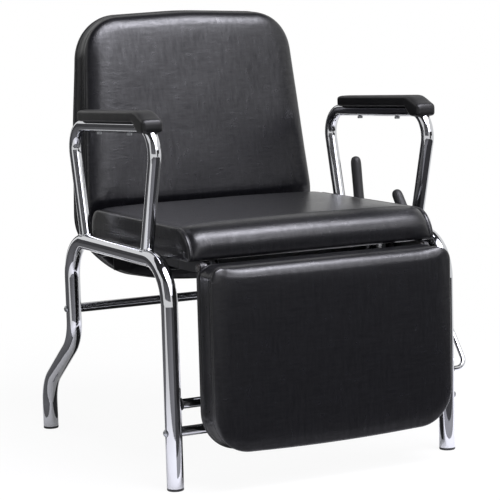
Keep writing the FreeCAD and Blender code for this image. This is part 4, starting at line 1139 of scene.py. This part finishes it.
class CHAIR_OT_stage(Operator):
    """Pale floor, soft studio light and the camera"""
    bl_idname = "chair.stage"
    bl_label = "Stage"

    def execute(self, context):
        self.world(context)
        self.floor(context)
        self.lights(context)
        self.flags(context)
        self.camera(context)
        context.scene.view_settings.view_transform = "Standard"
        return {"FINISHED"}

    def reflected(self, add, rays):
        """One for rays that see the background in metal or through glass, else zero."""
        return add("Math", {
            0: rays["Is Glossy Ray"], 1: rays["Is Transmission Ray"]}, operation="MAXIMUM")

    def world(self, context):
        world = bpy.data.worlds.new("studio")
        world.use_nodes = True
        context.scene.world = world
        add = partial(add_node, world.node_tree)
        rays = add("LightPath").outputs
        seen = add("Math", {
            0: rays["Is Camera Ray"], 1: self.reflected(add, rays)}, operation="MAXIMUM")
        strength = add("MapRange", {"Value": seen, "To Min": WORLD_FILL})
        set_inputs(world.node_tree.nodes["Background"], {"Strength": strength, "Color": WHITE})

    def floor(self, context):
        far = FLOOR_REACH
        mesh = bpy.data.meshes.new("studio_floor")
        mesh.from_pydata([(-far, -far, 0), (far, -far, 0), (far, far, 0), (-far, far, 0)], [],
                         [(0, 1, 2, 3)])
        floor = bpy.data.objects.new("studio_floor", mesh)
        context.scene.collection.objects.link(floor)
        material, add, shader, place = start_material("matt_studio_floor")
        set_inputs(shader, {"Base Color": solid(sizes_of(context, "colours").floor),
                            "Roughness": 0.9, "Specular IOR Level": 0.0})
        glow = add("Emission", {"Color": WHITE, "Strength": 1.0})
        away = add("VectorMath", {0: place}, operation="LENGTH")
        rays = add("LightPath").outputs
        clear = add("MapRange", {
            "Value": away.outputs["Value"], "From Min": FLOOR_SHADOW[0],
            "From Max": FLOOR_SHADOW[1]})
        shadowed = add("MapRange", {"Value": clear, "To Min": FLOOR_GLOW})
        straight = add("Math", {
            0: shadowed, 1: rays["Is Camera Ray"]}, operation="MULTIPLY")
        # Reflections of the floor near the chair show its shadow in full
        mirrored = add("Math", {
            0: clear, 1: self.reflected(add, rays)}, operation="MULTIPLY")
        factor = add("Math", {0: straight, 1: mirrored}, operation="MAXIMUM")
        mixed = add("MixShader", {"Fac": factor, 1: shader, 2: glow})
        set_inputs(material.node_tree.nodes["Material Output"], {"Surface": mixed})
        mesh.materials.append(material)

    def lights(self, context):
        for name, place, aim, wide, tall, power in STUDIO_LIGHTS:
            data = bpy.data.lights.new(name, "AREA")
            data.shape = "RECTANGLE"
            data.size, data.size_y = wide, tall
            data.energy = power
            data.color = linear(SOFTBOX_COLOUR)
            self.soften(data)
            lamp = bpy.data.objects.new(name, data)
            context.scene.collection.objects.link(lamp)
            lamp.location = place
            lamp.rotation_euler = (Vector(aim) - Vector(place)).to_track_quat("-Z", "Y").to_euler()

    def soften(self, data):
        """Let a softbox fade out towards its edges, as its cloth does."""
        data.use_nodes = True
        add = partial(add_node, data.node_tree)
        spot = add("NewGeometry").outputs["Parametric"]
        off = add("VectorMath", {0: spot, 1: (0.5, 0.5, 0.0)}, operation="SUBTRACT")
        away = add("VectorMath", {0: off}, operation="ABSOLUTE")
        axes = add("SeparateXYZ", {"Vector": away}).outputs
        shares = [add("MapRange", {
            "Value": axes[axis], "From Min": 0.5, "From Max": 0.5 * (1 - softness)},
            interpolation_type="SMOOTHSTEP") for axis, softness in SOFTBOX_EDGES]
        both = add("Math", {0: shares[0], 1: shares[1]}, operation="MULTIPLY")
        set_inputs(data.node_tree.nodes["Emission"], {"Strength": both})

    def flags(self, context):
        """Dark cards outside the picture, which only reflections show."""
        cards = [(name, tone, [(x, y, height) for x, y in corners])
                 for name, tone, height, corners in LEVEL_FLAGS]
        cards += [(name, tone, [(*start, foot), (*end, foot), (*end, top), (*start, top)])
                  for name, tone, start, end, foot, top in UPRIGHT_FLAGS]
        for name, tone, corners in cards:
            material, add, shader, place = start_material(name + "_felt")
            nap = add("TexNoise", {"Vector": place, "Scale": per_metre(3.0)})
            shade = [FLAG_SHADE * channel for channel in linear(tone)]
            dyed = add("MixRGB", {
                "Fac": nap, "Color1": solid(shade), "Color2": solid(linear(tone))})
            set_inputs(shader, {"Base Color": dyed, "Roughness": 0.95})
            mesh = bpy.data.meshes.new(name)
            mesh.from_pydata(corners, [], [(0, 1, 2, 3)])
            mesh.materials.append(material)
            flag = bpy.data.objects.new(name, mesh)
            context.scene.collection.objects.link(flag)
            flag.visible_camera = flag.visible_diffuse = flag.visible_shadow = False

    def camera(self, context):
        a, p, r = (math.radians(angle) for angle in (CAMERA_AZIMUTH, CAMERA_PITCH, CAMERA_ROLL))
        back = Vector((math.sin(a) * math.cos(p), -math.cos(a) * math.cos(p), math.sin(p)))
        right = Vector((math.cos(a), math.sin(a), 0))
        up = back.cross(right)
        axes = [math.cos(r) * right + math.sin(r) * up,
                math.cos(r) * up - math.sin(r) * right, back]
        data = bpy.data.cameras.new("camera")
        data.sensor_width = CAMERA_SENSOR
        data.lens = CAMERA_LENS
        camera = bpy.data.objects.new("camera", data)
        context.scene.collection.objects.link(camera)
        camera.matrix_world = Matrix.Translation(CAMERA_PLACE) @ Matrix(axes).transposed().to_4x4()
        context.scene.camera = camera


GROUPS = {"seams": SeamSizes, "back": BackSizes, "seat": SeatSizes, "legrest": LegrestSizes,
          "pads": PadSizes, "levers": LeverSizes, "colours": ChairColours}
OPERATORS = (CHAIR_OT_metalwork, CHAIR_OT_back_cushion, CHAIR_OT_seat_cushion,
             CHAIR_OT_legrest_cushion, CHAIR_OT_armrest_pads, CHAIR_OT_lever_grips,
             CHAIR_OT_weld_beads, CHAIR_OT_stage)


class CHAIR_PT_dressing(Panel):
    """Lists the steps that dress the chair"""
    bl_label = "Shampoo Chair"
    bl_idname = "CHAIR_PT_dressing"
    bl_space_type = "VIEW_3D"
    bl_region_type = "UI"
    bl_category = "Chair"

    def draw(self, context):
        for operator in OPERATORS:
            self.layout.operator(operator.bl_idname)
        for group, kind in GROUPS.items():
            box = self.layout.box()
            for name in kind.__annotations__:
                box.prop(sizes_of(context, group), name)


def register():
    """Register the classes and hang their sizes on the scene."""
    for kind in (*GROUPS.values(), *OPERATORS, CHAIR_PT_dressing):
        bpy.utils.register_class(kind)
    for group, kind in GROUPS.items():
        setattr(bpy.types.Scene, "chair_" + group, PointerProperty(type=kind))


def unregister():
    """Take away what register added."""
    for group in GROUPS:
        delattr(bpy.types.Scene, "chair_" + group)
    for kind in reversed((*GROUPS.values(), *OPERATORS, CHAIR_PT_dressing)):
        bpy.utils.unregister_class(kind)


def main():
    """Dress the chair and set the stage."""
    register()
    for operator in OPERATORS:
        group, name = operator.bl_idname.split(".")
        getattr(getattr(bpy.ops, group), name)()


if __name__ == "__main__":
    main()
